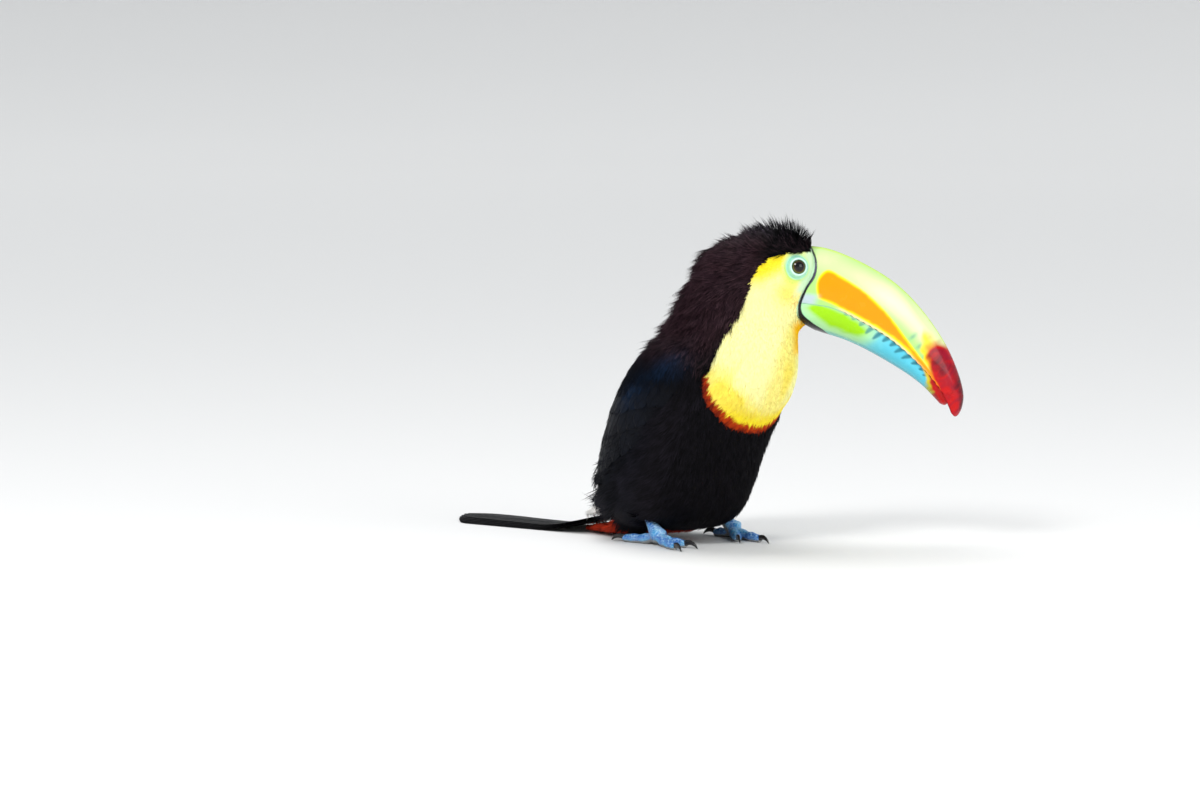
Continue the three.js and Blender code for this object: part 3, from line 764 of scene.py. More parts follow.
COAT = {kind: SimpleNamespace(**dict(zip(COAT_COLUMNS, row))) for kind, row in COAT.items()}
PALE_KINDS = ("face", "bib", "rump")
HEAD_FROM, FACE_FROM, CROWN_FROM = 116, 150, 184  # heights
KINDS = list(COAT)
RINGS = np.array([0.0, 0.55])  # where along a blade its sections are
RING_WIDTH = np.array([0.8, 1.0])[:, None]
SECTIONS = len(RINGS)
ALONG_BLADE = np.append(np.tile(RINGS, 3), 1.0)  # of each of its points: left, right, ridge and tip
PATCH = 0.003  # the width of a tuft's place on the OFBake map
MOST_TRIANGLES = 195_000  # in a coat piece


def blade_faces():
    """One blade's triangles: its two upper sides, then its underside and its root."""
    left, right, top = (np.arange(SECTIONS) + k * SECTIONS for k in range(3))
    faces = []
    for a, b in ((left, top), (top, right), (right, left)):
        for k in range(SECTIONS - 1):
            faces += [(a[k], b[k], b[k + 1]), (a[k], b[k + 1], a[k + 1])]
        faces += [(a[-1], b[-1], 3 * SECTIONS)]
    return np.array([*faces, (left[0], right[0], top[0])])


BLADE = blade_faces()
UNDERSIDE = np.arange(len(BLADE)) >= 2 * (len(BLADE) - 1) // 3


def kind_of(s):
    """Which sort of feather grows at each place, or -1 for bare skin."""
    upper = is_part(s, "head", "neck") | ((s.z > HEAD_FROM) & is_part(s, "trunk", "bib"))
    rules = [  # each goes over those before it
        ("flank", (s.side > 58) & (s.z < 100)),
        ("back", (s.side > 140) | (s.z > 100)),
        ("wing", is_part(s, *WINGS)),
        ("rump", is_part(s, "tail_coverts_upper")),
        ("vent", is_part(s, "tail_coverts_under") | between_legs(s)),
        ("nape", upper),
        ("crown", upper & (s.z > CROWN_FROM)),
        ("bib", (s.edge < 6.5) & (s.z < RED_TOP) & (s.side < 68)),
        ("bib", (s.edge < 0) & (s.z <= FACE_FROM)),
        ("face", (s.edge < 0) & (s.z > FACE_FROM)),
    ]
    kind = np.full(len(s.p), KINDS.index("breast"))
    for name, here in rules:
        kind[here] = KINDS.index(name)
    lid = s.eye < EYE.ring + 0.7 + 0.3 * ripple(s.p, 1.6)
    by_bill = (s.ahead > -0.6) & (s.z > 128)
    before_eye = (s.ahead > -5.5 + 0.5 * np.sin(s.z)) & (s.z > 159) & (s.z < 184.5)
    kind[lid | by_bill | before_eye | (s.z < 1.5)] = -1
    return kind


def lie(s):
    """The way that the feathers lie: back over the head, then down the body and back to the tail."""
    sin, cos = np.sin(s.heading), np.cos(s.heading)
    back, to_right = -stacked(cos, sin, 0), stacked(sin, -cos, 0)
    phi = np.radians(s.phi)[:, None]
    round_it = (back * np.sin(phi) + to_right * np.cos(phi)) * np.sign(s.phi)[:, None]
    head = ease(148, 184, s.z)[:, None]
    belly = (1 - ease(12, 60, s.z))[:, None]
    way = back * (0.2 + 1.3 * head + 1.2 * belly) + np.array([0.0, 0.0, -1.0]) * (1 - 0.8 * head)
    edging = hump(s.edge, -9, 1, 3, 8) * (s.z < 118) * ease(3, 26, s.side)
    flank = hump(s.side, 50, 80, 125, 145) * (1 - ease(84, 108, s.z))
    way = way + round_it * (0.8 * edging + 1.5 * flank)[:, None]
    return unit(way - dots(way, s.n)[:, None] * s.n)


def sown():
    """Roots of tufts spread evenly over the skin, their kinds, and their places on its map."""
    corners = skin_points[skin_faces]
    area = 0.5 * np.linalg.norm(face_normals(corners), axis=1)
    middle = corners.mean(1)
    part = skin_part[skin_faces[:, 0]]
    kind = kind_of(spots(middle, unit(skin_normals[skin_faces].mean(1)), part))
    thick = np.array([COAT[name].per_mm for name in KINDS] + [0.0])[kind]
    thick = thick * np.where((kind == KINDS.index("wing")) & (middle[:, 2] < 98), 0.3, 1.0)
    count = np.floor(thick * area + rng.random(len(area))).astype(int)
    face = np.repeat(np.arange(len(area)), count)
    a, b = rng.random((2, len(face), 1))
    weights = np.stack([(1 - a) * (1 - b), a * (1 - b), a * b, (1 - a) * b], 1)
    root = (corners[face] * weights).sum(1)
    s = spots(root, unit((skin_normals[skin_faces[face]] * weights).sum(1)), part[face])
    loose_edge = 0.7 * ease(110, 130, s.z) - 0.45 * ease(178, 183, s.z)
    s.edge = s.edge + loose_edge * rng.standard_normal(len(root))
    return s, kind_of(s), (skin_uv[face] * weights).sum(1)


def blades(look, *tufts):
    """Tufts of tapering blades, each a closed solid, as points, triangles, colours, normals, places on
    the map, and which triangles are undersides. tufts are the values that grow() puts together."""
    root, bend, tip, side, out, uv, root_shade, tip_shade, length = (v[:, None, None] for v in tufts)
    tufts, count = len(root), look.blades
    spread = (np.arange(count) / max(count - 1, 1) - 0.5)[None, :]

    def strays(size):
        return rng.normal(0, size, (tufts, count))

    start = (spread * 1.1 + strays(0.2)) * look.width
    end = (spread * 2 * look.fan + strays(look.fan * 0.45)) * length[:, 0]
    reach = 1 - 0.5 * np.abs(spread) - 0.14 * rng.random((tufts, count))
    rise = strays(0.055 * look.loose) * length[:, 0]
    curl = strays(0.05 * look.loose) * length[:, 0]
    start, end, reach, rise, curl = (v[..., None, None] for v in (start, end, reach, rise, curl))
    t = np.append(RINGS, 1.0)[:, None] * reach
    centre = (1 - t) ** 2 * root + 2 * t * (1 - t) * bend + t**2 * tip
    centre = centre + (start + (end - start) * t**1.5 + curl * np.sin(math.pi * t)) * side + rise * t**2 * out
    width = look.width * RING_WIDTH * (0.8 + 0.4 * rng.random((tufts, count, 1, 1)))
    across, ridge = side * width / 2, out * width * 0.3
    rings = centre[:, :, :-1]
    points = np.concatenate([rings - across, rings + across, rings + ridge, centre[:, :, -1:]], 2)
    shape = points.shape[:3]

    def at_points(left, right, top, tip):
        """A value for each point of a blade, from those of its left, right and top lines and its tip."""
        return np.append(np.repeat([left, right, top], SECTIONS), tip)

    normals = np.broadcast_to(unit(out + side * at_points(-0.55, 0.55, 0, 0)[:, None]), points.shape)
    triangles = (BLADE + np.arange(tufts * count)[:, None, None] * shape[2]).reshape(-1, 3)
    tone = 1 + look.uneven * rng.standard_normal((tufts, count, 1, 1))
    colours = mix(root_shade, tip_shade, np.broadcast_to(ALONG_BLADE, shape)) * tone
    lane = (np.arange(count)[:, None] + at_points(0, 0.8, 0.4, 0.4)) / count
    patch = stacked(lane, ALONG_BLADE + at_points(0, 0, 0.08, 0)) - 0.5
    places = (uv + PATCH * patch).reshape(-1, 2)
    made = (v.reshape(-1, 3) for v in (points, triangles, colours, normals))
    return *made, places, np.tile(UNDERSIDE, tufts * count)


def tuft_shades(s, kind):
    """Each tuft's colour at its roots and at its tips, with painted shade at the roots and painted highlights
    on some tips.
    """
    root = marking(s) * (1 + 0.9 * COAT[kind].uneven * rng.standard_normal((len(s.p), 1)))
    # The tips a little lighter than the roots: painted shade towards the roots.
    tip = root * 1.06
    if kind == "face":
        speck = (rng.random(len(s.p)) < 0.22) & (s.ahead > -7) & (s.z > 137) & (s.z < 158)
        tip = mix(tip, ORANGE_SPECK, 0.7 * speck)
    if kind in ("crown", "nape"):
        # Painted highlights on some tips, strongest and most purple towards the top of the crown.
        high = ease(186, 200, s.z)
        lit = np.clip(rng.random(len(s.p)) * 1.6 - 0.7, 0, 1) * (0.45 + 0.55 * high)
        tip = mix(root * 1.25, mix(MAROON_TIP_HIGHLIGHT, PURPLE_TIP_HIGHLIGHT, high), 0.75 * lit)
        # Painted shade at the roots.
        root = root * 0.4
    if kind in ("breast", "flank", "back"):
        # A faint painted highlight on some tips of the black feathers.
        pale = 0.12 if kind == "flank" else 0.05
        tip = mix(root, PURPLE_TIP_HIGHLIGHT, pale * rng.random(len(s.p)) * (s.edge >= 0))
        # Painted shade at the roots.
        root = root * 0.7
    return root, tip


def stance(kind, s, length):
    """How each tuft of a kind stands: its length, how far its tip rises, and how upright it is."""
    rise = COAT[kind].rise * length / COAT[kind].length
    upright = np.zeros(len(length))

    def change(share, longer=0.0, higher=0.0):
        nonlocal length, rise
        length, rise = length * (1 + longer * share), rise * (1 + higher * share)

    if kind == "bib":
        change(ease(118, 150, s.z), longer=-0.45)
    if kind == "face":
        change(ease(14, 9.5, s.eye), longer=-0.4, higher=-0.5)
    if kind == "crown":
        upright = (0.4 + 0.4 * ease(-36, -8, s.ahead)) * ease(184, 190, s.z) * ease(-66, -50, s.ahead)
        high = 0.34 * ease(184, 196, s.z) * ease(-62, -45, s.ahead)
        rise = rise * (0.66 + high + 0.35 * upright)
    if kind == "vent":
        change(is_part(s, "trunk"), higher=2.6)
    if kind == "nape":
        change(ease(95, 130, s.side) * ease(128, 142, s.z), longer=0.15, higher=0.6)
    if kind in ("crown", "nape"):
        change(ripple(s.p, 7, 2.7), higher=0.42)
        change(rng.random(len(length)) < 0.14, longer=0.3, higher=0.45)
    if kind in ("flank", "back", "wing"):
        rear = ease(100, 122, s.side) * hump(s.z, 18, 26, 44, 60)
        change(rng.random(len(length)) < 0.42 * rear, longer=0.75, higher=2.6)
    return length, rise, upright


def grow(kind, s, uv):
    """One kind of feather, in as many pieces as its triangles need."""
    look = COAT[kind]
    length = look.length * (1 + 0.16 * np.clip(rng.standard_normal(len(s.p)), -1.8, 1.8))
    length, rise, upright = stance(kind, s, length)
    way = lie(s)
    stray = 0.16 * look.loose * rng.standard_normal((len(s.p), 1))
    way = unit(way + unit(np.cross(s.n, way)) * stray)
    reach = (way * length[:, None]) * (1 - 0.85 * upright[:, None])
    middle, _ = on_skin(s.p + reach * 0.5, rise * 0.62)
    tip, out = on_skin(s.p + reach * 0.95, rise)
    shades = tuft_shades(s, kind)
    bend = 2 * middle - (s.p + tip) / 2
    side = unit(np.cross(s.n, way))
    tufts = (s.p - s.n * 0.3, bend, tip, side, unit(out + s.n), uv, *shades, length)
    parts = max(1, math.ceil(len(s.p) * look.blades * len(BLADE) / MOST_TRIANGLES))
    order = np.argsort(s.z, kind="stable")
    for number, chosen in enumerate(np.array_split(order, parts), 1):
        points, faces, colours, normals, places, under = blades(look, *(v[chosen] for v in tufts))
        finish = PALE_FEATHER if kind in PALE_KINDS else FEATHER
        shading = (normals, under)
        piece(f"coat_{kind}_{number}", points, faces, colours, finish, uv=places, shading=shading)


def grow_coat():
    s, kinds, uv = sown()
    for number, kind in enumerate(KINDS):
        here = kinds == number
        if here.any():
            grow(kind, SimpleNamespace(**{name: v[here] for name, v in vars(s).items()}), uv[here])


grow_coat()

# ---- the bill

MINT_HORN = (0.40, 0.80, 0.20)
# Partly the upper jaw's own pale colour, partly a painted highlight.
CREAM_AND_HIGHLIGHT_HORN = (0.93, 1.0, 0.56)
RIDGE_HORN = (0.55, 0.80, 0.06)
ORANGE_HORN = (1.0, 0.33, 0.0)
ORANGE_RIM = (1.0, 0.74, 0.0)
RED_HORN = (0.56, 0.0, 0.001)
CRIMSON_HORN = (0.30, 0.0, 0.018)
DARK_HORN = (0.085, 0.0, 0.006)
YELLOW_HORN = (0.95, 0.72, 0.02)
OLIVE_HORN = (0.35, 0.38, 0.02)
PEACH_EDGE = (1.0, 0.72, 0.42)
GAPE_HORN = (0.50, 0.62, 0.66)
LIME_HORN = (0.35, 0.74, 0.0)
LIME_RIM = (0.50, 0.86, 0.30)
TURQUOISE_HORN = (0.36, 0.84, 0.68)
MINT_EDGE = (0.55, 0.85, 0.75)
SKY_HORN = (0.11, 0.62, 0.80)
DEEP_HORN_AND_SHADE = (0.015, 0.36, 0.45)
TOOTH_MARK = (0.02, 0.20, 0.26)
UPPER_MARK = (0.16, 0.42, 0.28)
BLACK_HORN = (0.006, 0.006, 0.008)
# A purple-grey highlight painted along the black band.
BAND_HIGHLIGHT = (0.11, 0.09, 0.17)
PALATE = (0.10, 0.04, 0.04)
TONGUE_GREEN = (0.10, 0.22, 0.14)
TONGUE_ORANGE = (0.75, 0.22, 0.02)

# The blaze on the upper jaw's side and the patch on the lower one's, as x and z.
ORANGE_OUTLINE = [(78.5, 156), (77.7, 163), (79.8, 169), (84.5, 172.2), (92, 168.7), (105.8, 159.8),
                  (116.9, 149.8), (125, 140.5), (132.4, 130.5), (145.5, 112.5), (135.5, 122), (123.1, 132.5),
                  (104.5, 143.6), (85.9, 153)]
LIME_OUTLINE = [(71, 149.5), (74.6, 152), (83.7, 150.9), (92.6, 147.1), (103.2, 140.4), (109.5, 134),
                (103.2, 131.4), (94.1, 134.3), (83.7, 138.9), (74.6, 145.7)]
# Where the red tip begins, as a share of the jaw's length, from the mouth's edge to the ridge.
RED_UPPER = np.array([(0, 0.82), (0.12, 0.76), (0.3, 0.685), (0.5, 0.65), (0.75, 0.65), (1, 0.70)])
RED_LOWER = np.array([(0, 0.80), (0.3, 0.84), (0.6, 0.88), (1, 0.90)])
# The black band's width at each point of the seam.
BAND_WIDTHS = [0.4, 0.4, 0.5, 0.9, 1.2, 1.1, 1.4, 1.6, 2.1, 1.7, 0.0]
BEHIND_SEAM = 3.0  # how far the bill reaches back under the feathers
ROUND_TIP = 0.972  # where each jaw's end rounds off, as a share of its length
TEETH = 30


def outline_depth(outline, flat):
    """Distance inside a smooth closed outline, negative outside it."""
    line = curve([*outline, outline[0]], 12)
    far, _ = line_distance(flat, line)
    inside = np.zeros(len(flat), bool)
    for (x1, z1), (x2, z2) in zip(line[:-1], line[1:]):
        crosses = (z1 > flat[:, 1]) != (z2 > flat[:, 1])
        with np.errstate(divide="ignore", invalid="ignore"):
            inside ^= crosses & (flat[:, 0] < (x2 - x1) * (flat[:, 1] - z1) / (z2 - z1) + x1)
    return np.where(inside, far, -far)


def tooth_marks(t, v):
    """Short dark strokes in a row from the lower jaw's mouth edge, leaning back."""
    shade = np.zeros_like(t)
    for k in range(12):
        reach = 0.52 * (0.6 + 0.4 * math.sin(2.4 * k + 1) ** 2) * min(1.0, 0.25 + 0.2 * k)
        middle = 0.30 + 0.048 * k + 0.004 * math.sin(5.1 * k) - 0.09 * v
        narrow = 0.021 * (1 - 0.6 * ease(0.3, 1.0, v / reach))
        stroke = ease(narrow, narrow * 0.2, np.abs(t - middle)) * ease(reach, reach * 0.75, v)
        shade = np.maximum(shade, stroke)
    return shade


def ridge_marks(t, v):
    """Four faint strokes on the upper jaw before its tip, each lower than the one behind it."""
    for k in range(4):
        up = v - 0.40 + 0.035 * k
        yield 0.75 * bell(t, 0.585 + 0.05 * k + 0.03 * up, 0.0105) * bell(up, 0, 0.13)


def upper_colours(t, v, p):
    """The upper jaw: green and cream, with an orange blaze and a red tip."""
    # A cream band along the upper jaw: partly its own pale colour, partly a painted highlight along the top.
    light = bell(v, 0.76 - 0.12 * t, 0.24) * (0.55 + 0.45 * ease(0.15, 0.45, t))
    light = np.maximum(light, 0.7 * ease(0.3, 0.6, t) * ease(0.42, 0.68, v))
    blaze = outline_depth(ORANGE_OUTLINE, p[:, [0, 2]])
    start = np.interp(v, *RED_UPPER.T) + 0.012 * ripple(p, 7, 5.0)
    rim = hump(t, start - 0.02, start + 0.01, start + 0.01, start + 0.06)
    crimson = np.clip(0.2 + 0.5 * ease(0.25, 0.8, v) + 0.3 * ripple(p, 5, 2.2), 0, 1)
    crimson = crimson * ease(start, start + 0.08, t)
    return layered(
        MINT_HORN,
        (CREAM_AND_HIGHLIGHT_HORN, np.clip(light + 0.08 * ripple(p, 26, 2.0), 0, 1)),
        (RIDGE_HORN, 0.75 * ease(0.955, 0.995, v)),
        *((UPPER_MARK, mark) for mark in ridge_marks(t, v)),
        (ORANGE_RIM, ease(-1.3, 0.1, blaze)),
        (ORANGE_HORN, ease(-0.1, 1.4, blaze + 0.25 * ripple(p, 6))),
        (mix(ORANGE_HORN, RED_HORN, ease(0.72, 0.9, t)), ease(0.60, 0.68, t) * ease(0.16, 0.10, v)),
        (GAPE_HORN, ease(0.15, 0.10, t) * ease(0.22, 0.12, v)),
        (PEACH_EDGE, 0.75 * ease(0.055, 0.025, v) * hump(t, 0.2, 0.26, 0.6, 0.8)),
        (YELLOW_HORN, ease(start - 0.05, start - 0.015, t) * hump(v, 0.1, 0.2, 0.6, 0.9)),
        (ORANGE_HORN, 0.6 * rim * ease(0.75, 0.5, v)),
        (
            layered(RED_HORN, (CRIMSON_HORN, crimson), (DARK_HORN, tip_blotches(t, v, p))),
            ease(start - 0.015, start + 0.04, t),
        ),
    )


def tip_blotches(t, v, p):
    """Darker stains on the red tip, thickest behind the ridge and at the very end."""
    heart = bell(t, 0.755, 0.045) * bell(v, 0.5, 0.22)
    front = ease(0.5, 0.9, v) * ease(0.76, 0.88, t)
    uneven = 0.16 * ripple(p, 9, 0.4) + 0.12 * ripple(p, 4.2, 1.9) + 0.1 * ripple(p, 2.3, 3.1)
    return np.clip(0.8 * heart + 0.75 * front + uneven, 0, 1)


def lower_colours(t, v, p):
    """The lower jaw: a lime patch, then sky blue with dark strokes, then a red tip."""
    lime = outline_depth(LIME_OUTLINE, p[:, [0, 2]])
    start = np.interp(v, *RED_LOWER.T) + 0.012 * ripple(p, 6, 2.0)
    return layered(
        TURQUOISE_HORN,
        (SKY_HORN, ease(0.34, 0.62, t + 0.1 * v)),
        (LIME_RIM, 0.7 * ease(-9, -1, lime)),
        (LIME_HORN, ease(-1.8, 2.2, lime + 0.4 * ripple(p, 8))),
        # A darker teal along the lower jaw's lower edge: partly a line of its own, partly painted shade.
        (DEEP_HORN_AND_SHADE, 0.8 * ease(0.80, 0.97, v) * ease(0.02, 0.2, t)),
        (TOOTH_MARK, (0.45 + 0.45 * ease(0.3, 0.5, t)) * tooth_marks(t, v)),
        (MINT_EDGE, 0.6 * ease(0.07, 0.03, v) * ease(0.6, 0.4, t)),
        (mix(YELLOW_HORN, OLIVE_HORN, v), ease(start - 0.055, start - 0.02, t)),
        (mix(RED_HORN, DARK_HORN, 0.5 * tip_blotches(t, v, p)), ease(start - 0.015, start + 0.03, t)),
    )


def banded(colour, p):
    """The thin black band where the bill meets the feathers, with a painted highlight high along it, and what
    lies hidden behind it.
    """
    z = p[:, 2]
    far, where = line_distance(p[:, [0, 2]], curve(BILL_SEAM, 8))
    width = np.interp(where, run_of(np.array(BILL_SEAM, float)), BAND_WIDTHS)
    behind = p[:, 0] < seam_x(z)
    jaw = ease(150, 140, z)
    colour = np.where(behind[:, None], mix(PALE_MINT, BLACK_HORN, jaw), colour)
    # A painted highlight along the middle of the band, high up.
    painted_highlight = hump(z, 160, 168, 176, 183) * bell(far, width * 0.45, 0.4)
    inside = ease(0.25, -0.25, far - np.where(behind, 0.5 + 1.2 * jaw, width))
    return mix(colour, mix(BLACK_HORN, BAND_HIGHLIGHT, painted_highlight * ~behind), inside)


def jaw_start(edge, ridge, v):
    """The share of a jaw's length at which its visible part begins, for each line along it."""
    shares = np.linspace(0, 0.35, 200)
    flat = mix(edge(shares)[:, None], ridge(shares)[:, None], v[None])
    return shares[np.argmax(flat[..., 0] - seam_x(flat[..., 1]) + BEHIND_SEAM >= 0, axis=0)]


def add_jaw(name, edge, ridge, colours_of, half_width, lining, fullness, rows, columns, hollow):
    """One jaw. edge and ridge give points at shares of the jaw's length; v runs from one to the other.

    fullness is how square it is across. Its mouth side is hollowed, or filled where hollow is negative."""
    v = np.sin(math.pi / 2 * np.linspace(0, 1, columns) ** 1.2)
    start = jaw_start(edge, ridge, v)
    t = start + (1 - start) * (1 - (1 - np.linspace(0, 1, rows)[:, None]) ** 1.25)
    t_edge, t_ridge = (at(t.ravel()).reshape(*t.shape, 2) for at in (edge, ridge))
    tooth = np.abs((t * TEETH) % 1 - 0.5) * 2 * hump(t, 0.2, 0.3, 0.85, 0.93)
    inward = unit(t_ridge - t_edge)
    profile = mix(t_edge, t_ridge, v[None]) + inward * (0.4 * tooth * ease(0.05, 0.0, v))[..., None]
    blunt = np.sqrt(1 - (0.99 * np.clip((t - ROUND_TIP) / (1 - ROUND_TIP), 0, 1)) ** 2)
    core = (t_edge + t_ridge) / 2
    profile = core + (profile - core) * blunt[..., None]
    across = half_width(t) * (1 - v**fullness) ** (1 / 1.7) * blunt
    wall = stacked(profile[..., 0], across, profile[..., 1])
    right = wall * [1, -1, 1] + [0, HEAD_Y, 0]
    left = wall[:, -2::-1] + [0, HEAD_Y, 0]
    inner = np.linspace(1, -1, 9)[1:-1][None, :, None]
    depth = stacked(inward[:, 0, 0], 0, inward[:, 0, 1])[:, None] * hollow
    mouth = (left[:, -1:] + right[:, :1]) / 2 + (left[:, -1:] - right[:, :1]) / 2 * inner
    mouth = mouth + depth * (1 - inner**4) * blunt[:, :1, None]
    points, faces = closed_loft(np.concatenate([right, left, mouth], 1))
    t_all = np.concatenate([t, t[:, -2::-1]], 1)
    v_all = np.broadcast_to(np.concatenate([v, v[-2::-1]]), t_all.shape)
    walls = np.concatenate([right, left], 1).reshape(-1, 3)
    shown = banded(colours_of(t_all.ravel(), v_all.ravel(), walls), walls).reshape(*t_all.shape, 3)
    inside = np.broadcast_to(lining(t[:, :1]), mouth.shape)
    colours = np.concatenate([shown, inside], 1).reshape(-1, 3)
    colours = np.vstack([colours, BLACK_HORN, shown[-1, 0]])
    made = piece(f"{name}_horn", points, faces, colours, HORN, [name])
    made.data.set_sharp_from_angle(angle=math.radians(50))


def add_bill():
    culmen, tomium, gonys = curve(CULMEN), curve(TOMIUM), curve(GONYS)

    def half_width(t):
        return BILL_HALF_WIDTH * (1 - 0.16 * t) * np.maximum(1 - t**2.6, 0) ** 0.62 + 1.3

    def lower_edge(t):
        mouth, under = along(tomium, t * JAW_SHARE), along(gonys, t)
        return mouth - unit(under - mouth) * 0.2

    def tongue_side(t):
        return layered(TONGUE_GREEN, (TONGUE_ORANGE, ease(0.25, 0.5, t)), (DARK_HORN, ease(0.7, 0.9, t)))

    add_jaw(
        "bill_upper", lambda t: along(tomium, t), lambda t: along(culmen, t), upper_colours,
        lambda t: half_width(t * 0.985), lambda t: mix(PALATE, DARK_HORN, t),
        fullness=2.3, rows=340, columns=76, hollow=1.6,
    )
    add_jaw(
        "bill_lower", lower_edge, lambda t: along(gonys, t), lower_colours,
        lambda t: half_width(t * 0.97) - 0.8, tongue_side,
        fullness=2.6, rows=300, columns=60, hollow=-0.9,
    )


add_bill()

# ---- the eyes

PUPIL, IRIS_RING, IRIS = 2.75, 3.45, 4.4  # radii
PUPIL_BLACK = (0.002, 0.002, 0.003)
IRIS_BROWN = (0.050, 0.022, 0.007)
OLIVE_DARK = (0.045, 0.065, 0.010)
OLIVE_LIGHT = (0.17, 0.17, 0.012)
IRIS_RIM = (0.004, 0.02, 0.015)
BALL_BACK = (0.01, 0.01, 0.01)
LID_MINT = (0.46, 0.78, 0.62)
LID_WHITE = (0.80, 0.92, 0.88)
LID_SHADE = (0.02, 0.10, 0.08)
RING_MINT = (0.36, 0.76, 0.56)
# The ring of bare skin, as radius and height: its upper side, from the lid outwards, then its underside.
RING_TOP = [(4.2, 0.35), (4.25, 0.95), (4.5, 1.25), (4.85, 1.32), (5.2, 1.2), (5.6, 1), (6, 1.02), (6.4, 0.9),
            (6.7, 0.78), (7, 0.82), (7.4, 0.72), (7.9, 0.5), (8.4, 0.3), (8.9, 0.1), (9.6, -0.1)]
RING_UNDER = [(9.3, -1.3), (7.0, -1.2), (4.6, -0.9)]
RING_LIFT = np.array([(6.6, 0.75), (7.4, 0.55), (8.2, 0.2), (8.8, -0.08), (9.6, -0.5)])  # over the skin


def turned(profile, side, sides, wobble=0.0):
    """Rings round the way an eye looks, through rows of radius and height."""
    middle, look = SEATS[side]
    across = unit(np.cross([0, 0, 1.0], look))
    up = np.cross(look, across)
    angle = turns(sides)[:, None]
    radius, height = (column[:, None, None] for column in profile.T)
    radius = radius * (1 + wobble * (np.sin(3 * angle + 1) + 0.6 * np.sin(5 * angle)))
    return middle + radius * (np.cos(angle) * across + np.sin(angle) * up) + height * look


def add_eye(side):
    """A wet ball with a low cornea, a black pupil and a dark brown iris with a thin olive ring round it."""
    rows, sides = 70, 96
    angle = np.linspace(0.02, math.pi * 0.75, rows)
    radius = EYE.radius + 0.28 * bell(angle, 0, 0.55)
    profile = stacked(radius * np.sin(angle), radius * np.cos(angle) - EYE_SUNK)
    points, faces = closed_loft(turned(profile, side, sides))
    out = np.repeat(profile[:, 0], sides)
    spoke = np.tile(np.arange(sides), rows)
    fibre = 0.75 + 0.25 * np.sin(spoke * 2.7) * np.sin(spoke * 1.13 + 2)
    below = 0.5 - 0.5 * np.sin(np.tile(turns(sides), rows))
    brown = ease(IRIS_RING + 0.25, IRIS_RING - 0.15, out)
    colour = layered(
        layered(OLIVE_DARK, (OLIVE_LIGHT, below), (IRIS_BROWN, brown)) * fibre[:, None],
        (PUPIL_BLACK, ease(PUPIL + 0.12, PUPIL - 0.12, out)),
        (IRIS_RIM, ease(IRIS - 0.45, IRIS, out)),
    )
    colour = np.vstack([colour, PUPIL_BLACK, BALL_BACK])
    piece(f"eye_{side}_ball", points, faces, colour, CORNEA, [f"eye_{side}"])


def laid_on_skin(rings, side, profile, top_rows):
    """Bends an eye's ring so that beyond the lid it lies on the skin and runs out under the feathers."""
    middle, look = SEATS[side]
    clear = 20  # a height over everything
    height = (rings - middle) @ look
    start = rings + (clear - height)[..., None] * look
    flat = start.reshape(-1, 3)
    found, _ = met(flat, np.broadcast_to(-look, flat.shape))
    ground = (found.reshape(rings.shape) - middle) @ look
    lift = np.interp(profile[:, 0], *RING_LIFT.T)
    lift[top_rows:] = -0.9
    share = ease(5.6, 7.4, profile[:, :1])
    height = height * (1 - share) + (ground + lift[:, None]) * share
    return start + (height - clear)[..., None] * look


def add_eye_ring(side):
    """The bare skin round an eye: a rolled lid, a fold, and a rim that sinks under the feathers."""
    sides = 128
    top = curve(RING_TOP, 5)
    profile = np.vstack([top, RING_UNDER])
    rows = len(profile)
    angle = turns(sides)
    out = profile[:, :1]
    crease = 0.05 * np.sin(38 * angle + 2.2 * np.sin(3 * angle)) * ease(4.6, 5.6, out)
    crease = crease + 0.05 * np.sin(61 * angle + 9 * out) * ease(6.8, 7.4, out)
    rings = laid_on_skin(turned(profile, side, sides, 0.006), side, profile, len(top))
    points = (rings + crease[..., None] * SEATS[side][1]).reshape(-1, 3)
    faces = grid_faces(rows + 1, sides) % len(points)  # the last row joins the first
    out, around = np.repeat(profile[:, 0], sides), np.tile(angle, rows)
    back = 0.5 + 0.5 * SIDES[side] * np.cos(around)
    below = 0.5 - 0.5 * np.sin(around)
    colour = layered(
        LID_MINT,
        (LID_WHITE, 0.8 * bell(out, 5.1, 0.28)),
        (RING_MINT, ease(5.3, 6.0, out) * (0.75 + 0.25 * np.sin(around + 0.6))),
        (RIM_GREEN, ease(6.9, 8.4, out)),
        (TEAL, 0.3 * bell(out, 6.65, 0.3) * (1 - 0.7 * below)),
        # Painted shade: lime at the ring's lower rear.
        (LIME_SHADE, 0.8 * ease(7.4, 8.6, out) * ease(0.35, 0.8, below * back * 1.5)),
        (LID_SHADE, ease(4.62, 4.3, out)),
    )
    name = f"eye_ring_{side}"
    piece(f"{name}_skin", points, faces, colour, BARE, [name])


for side in SIDES:
    add_eye(side)
    add_eye_ring(side)

# ---- the feet

FOOT_BLUE = (0.012, 0.14, 0.50)
FOOT_CYAN = (0.04, 0.33, 0.66)
# Pale scale edges, and a painted highlight on top.
FOOT_PALE_AND_HIGHLIGHT = (0.50, 0.76, 0.92)
FOOT_SOLE = (0.20, 0.19, 0.17)
SOLE_SEAM = (0.55, 0.52, 0.46)
CLAW_BLACK = (0.012, 0.010, 0.010)
CLAW_ROOT = (0.20, 0.19, 0.18)
FOOT_VOXEL = 0.42
SCUTE = 2.1  # the length of a plate along a toe
LIMB_SIDES = 20
TOE_RADIUS, SHANK_RADIUS, CLAW_RADIUS = 3.4, 5.3, 1.85


def foot_line(foot, angle, points):
    """A smooth line over the floor from the foot's middle, as distances along and heights."""
    x, y, heading = FEET[foot]
    way = math.radians(heading + (-angle if foot == "right" else angle))
    flat = curve(points, 16)
    return stacked(x + math.cos(way) * flat[:, 0], y + math.sin(way) * flat[:, 0], flat[:, 1])


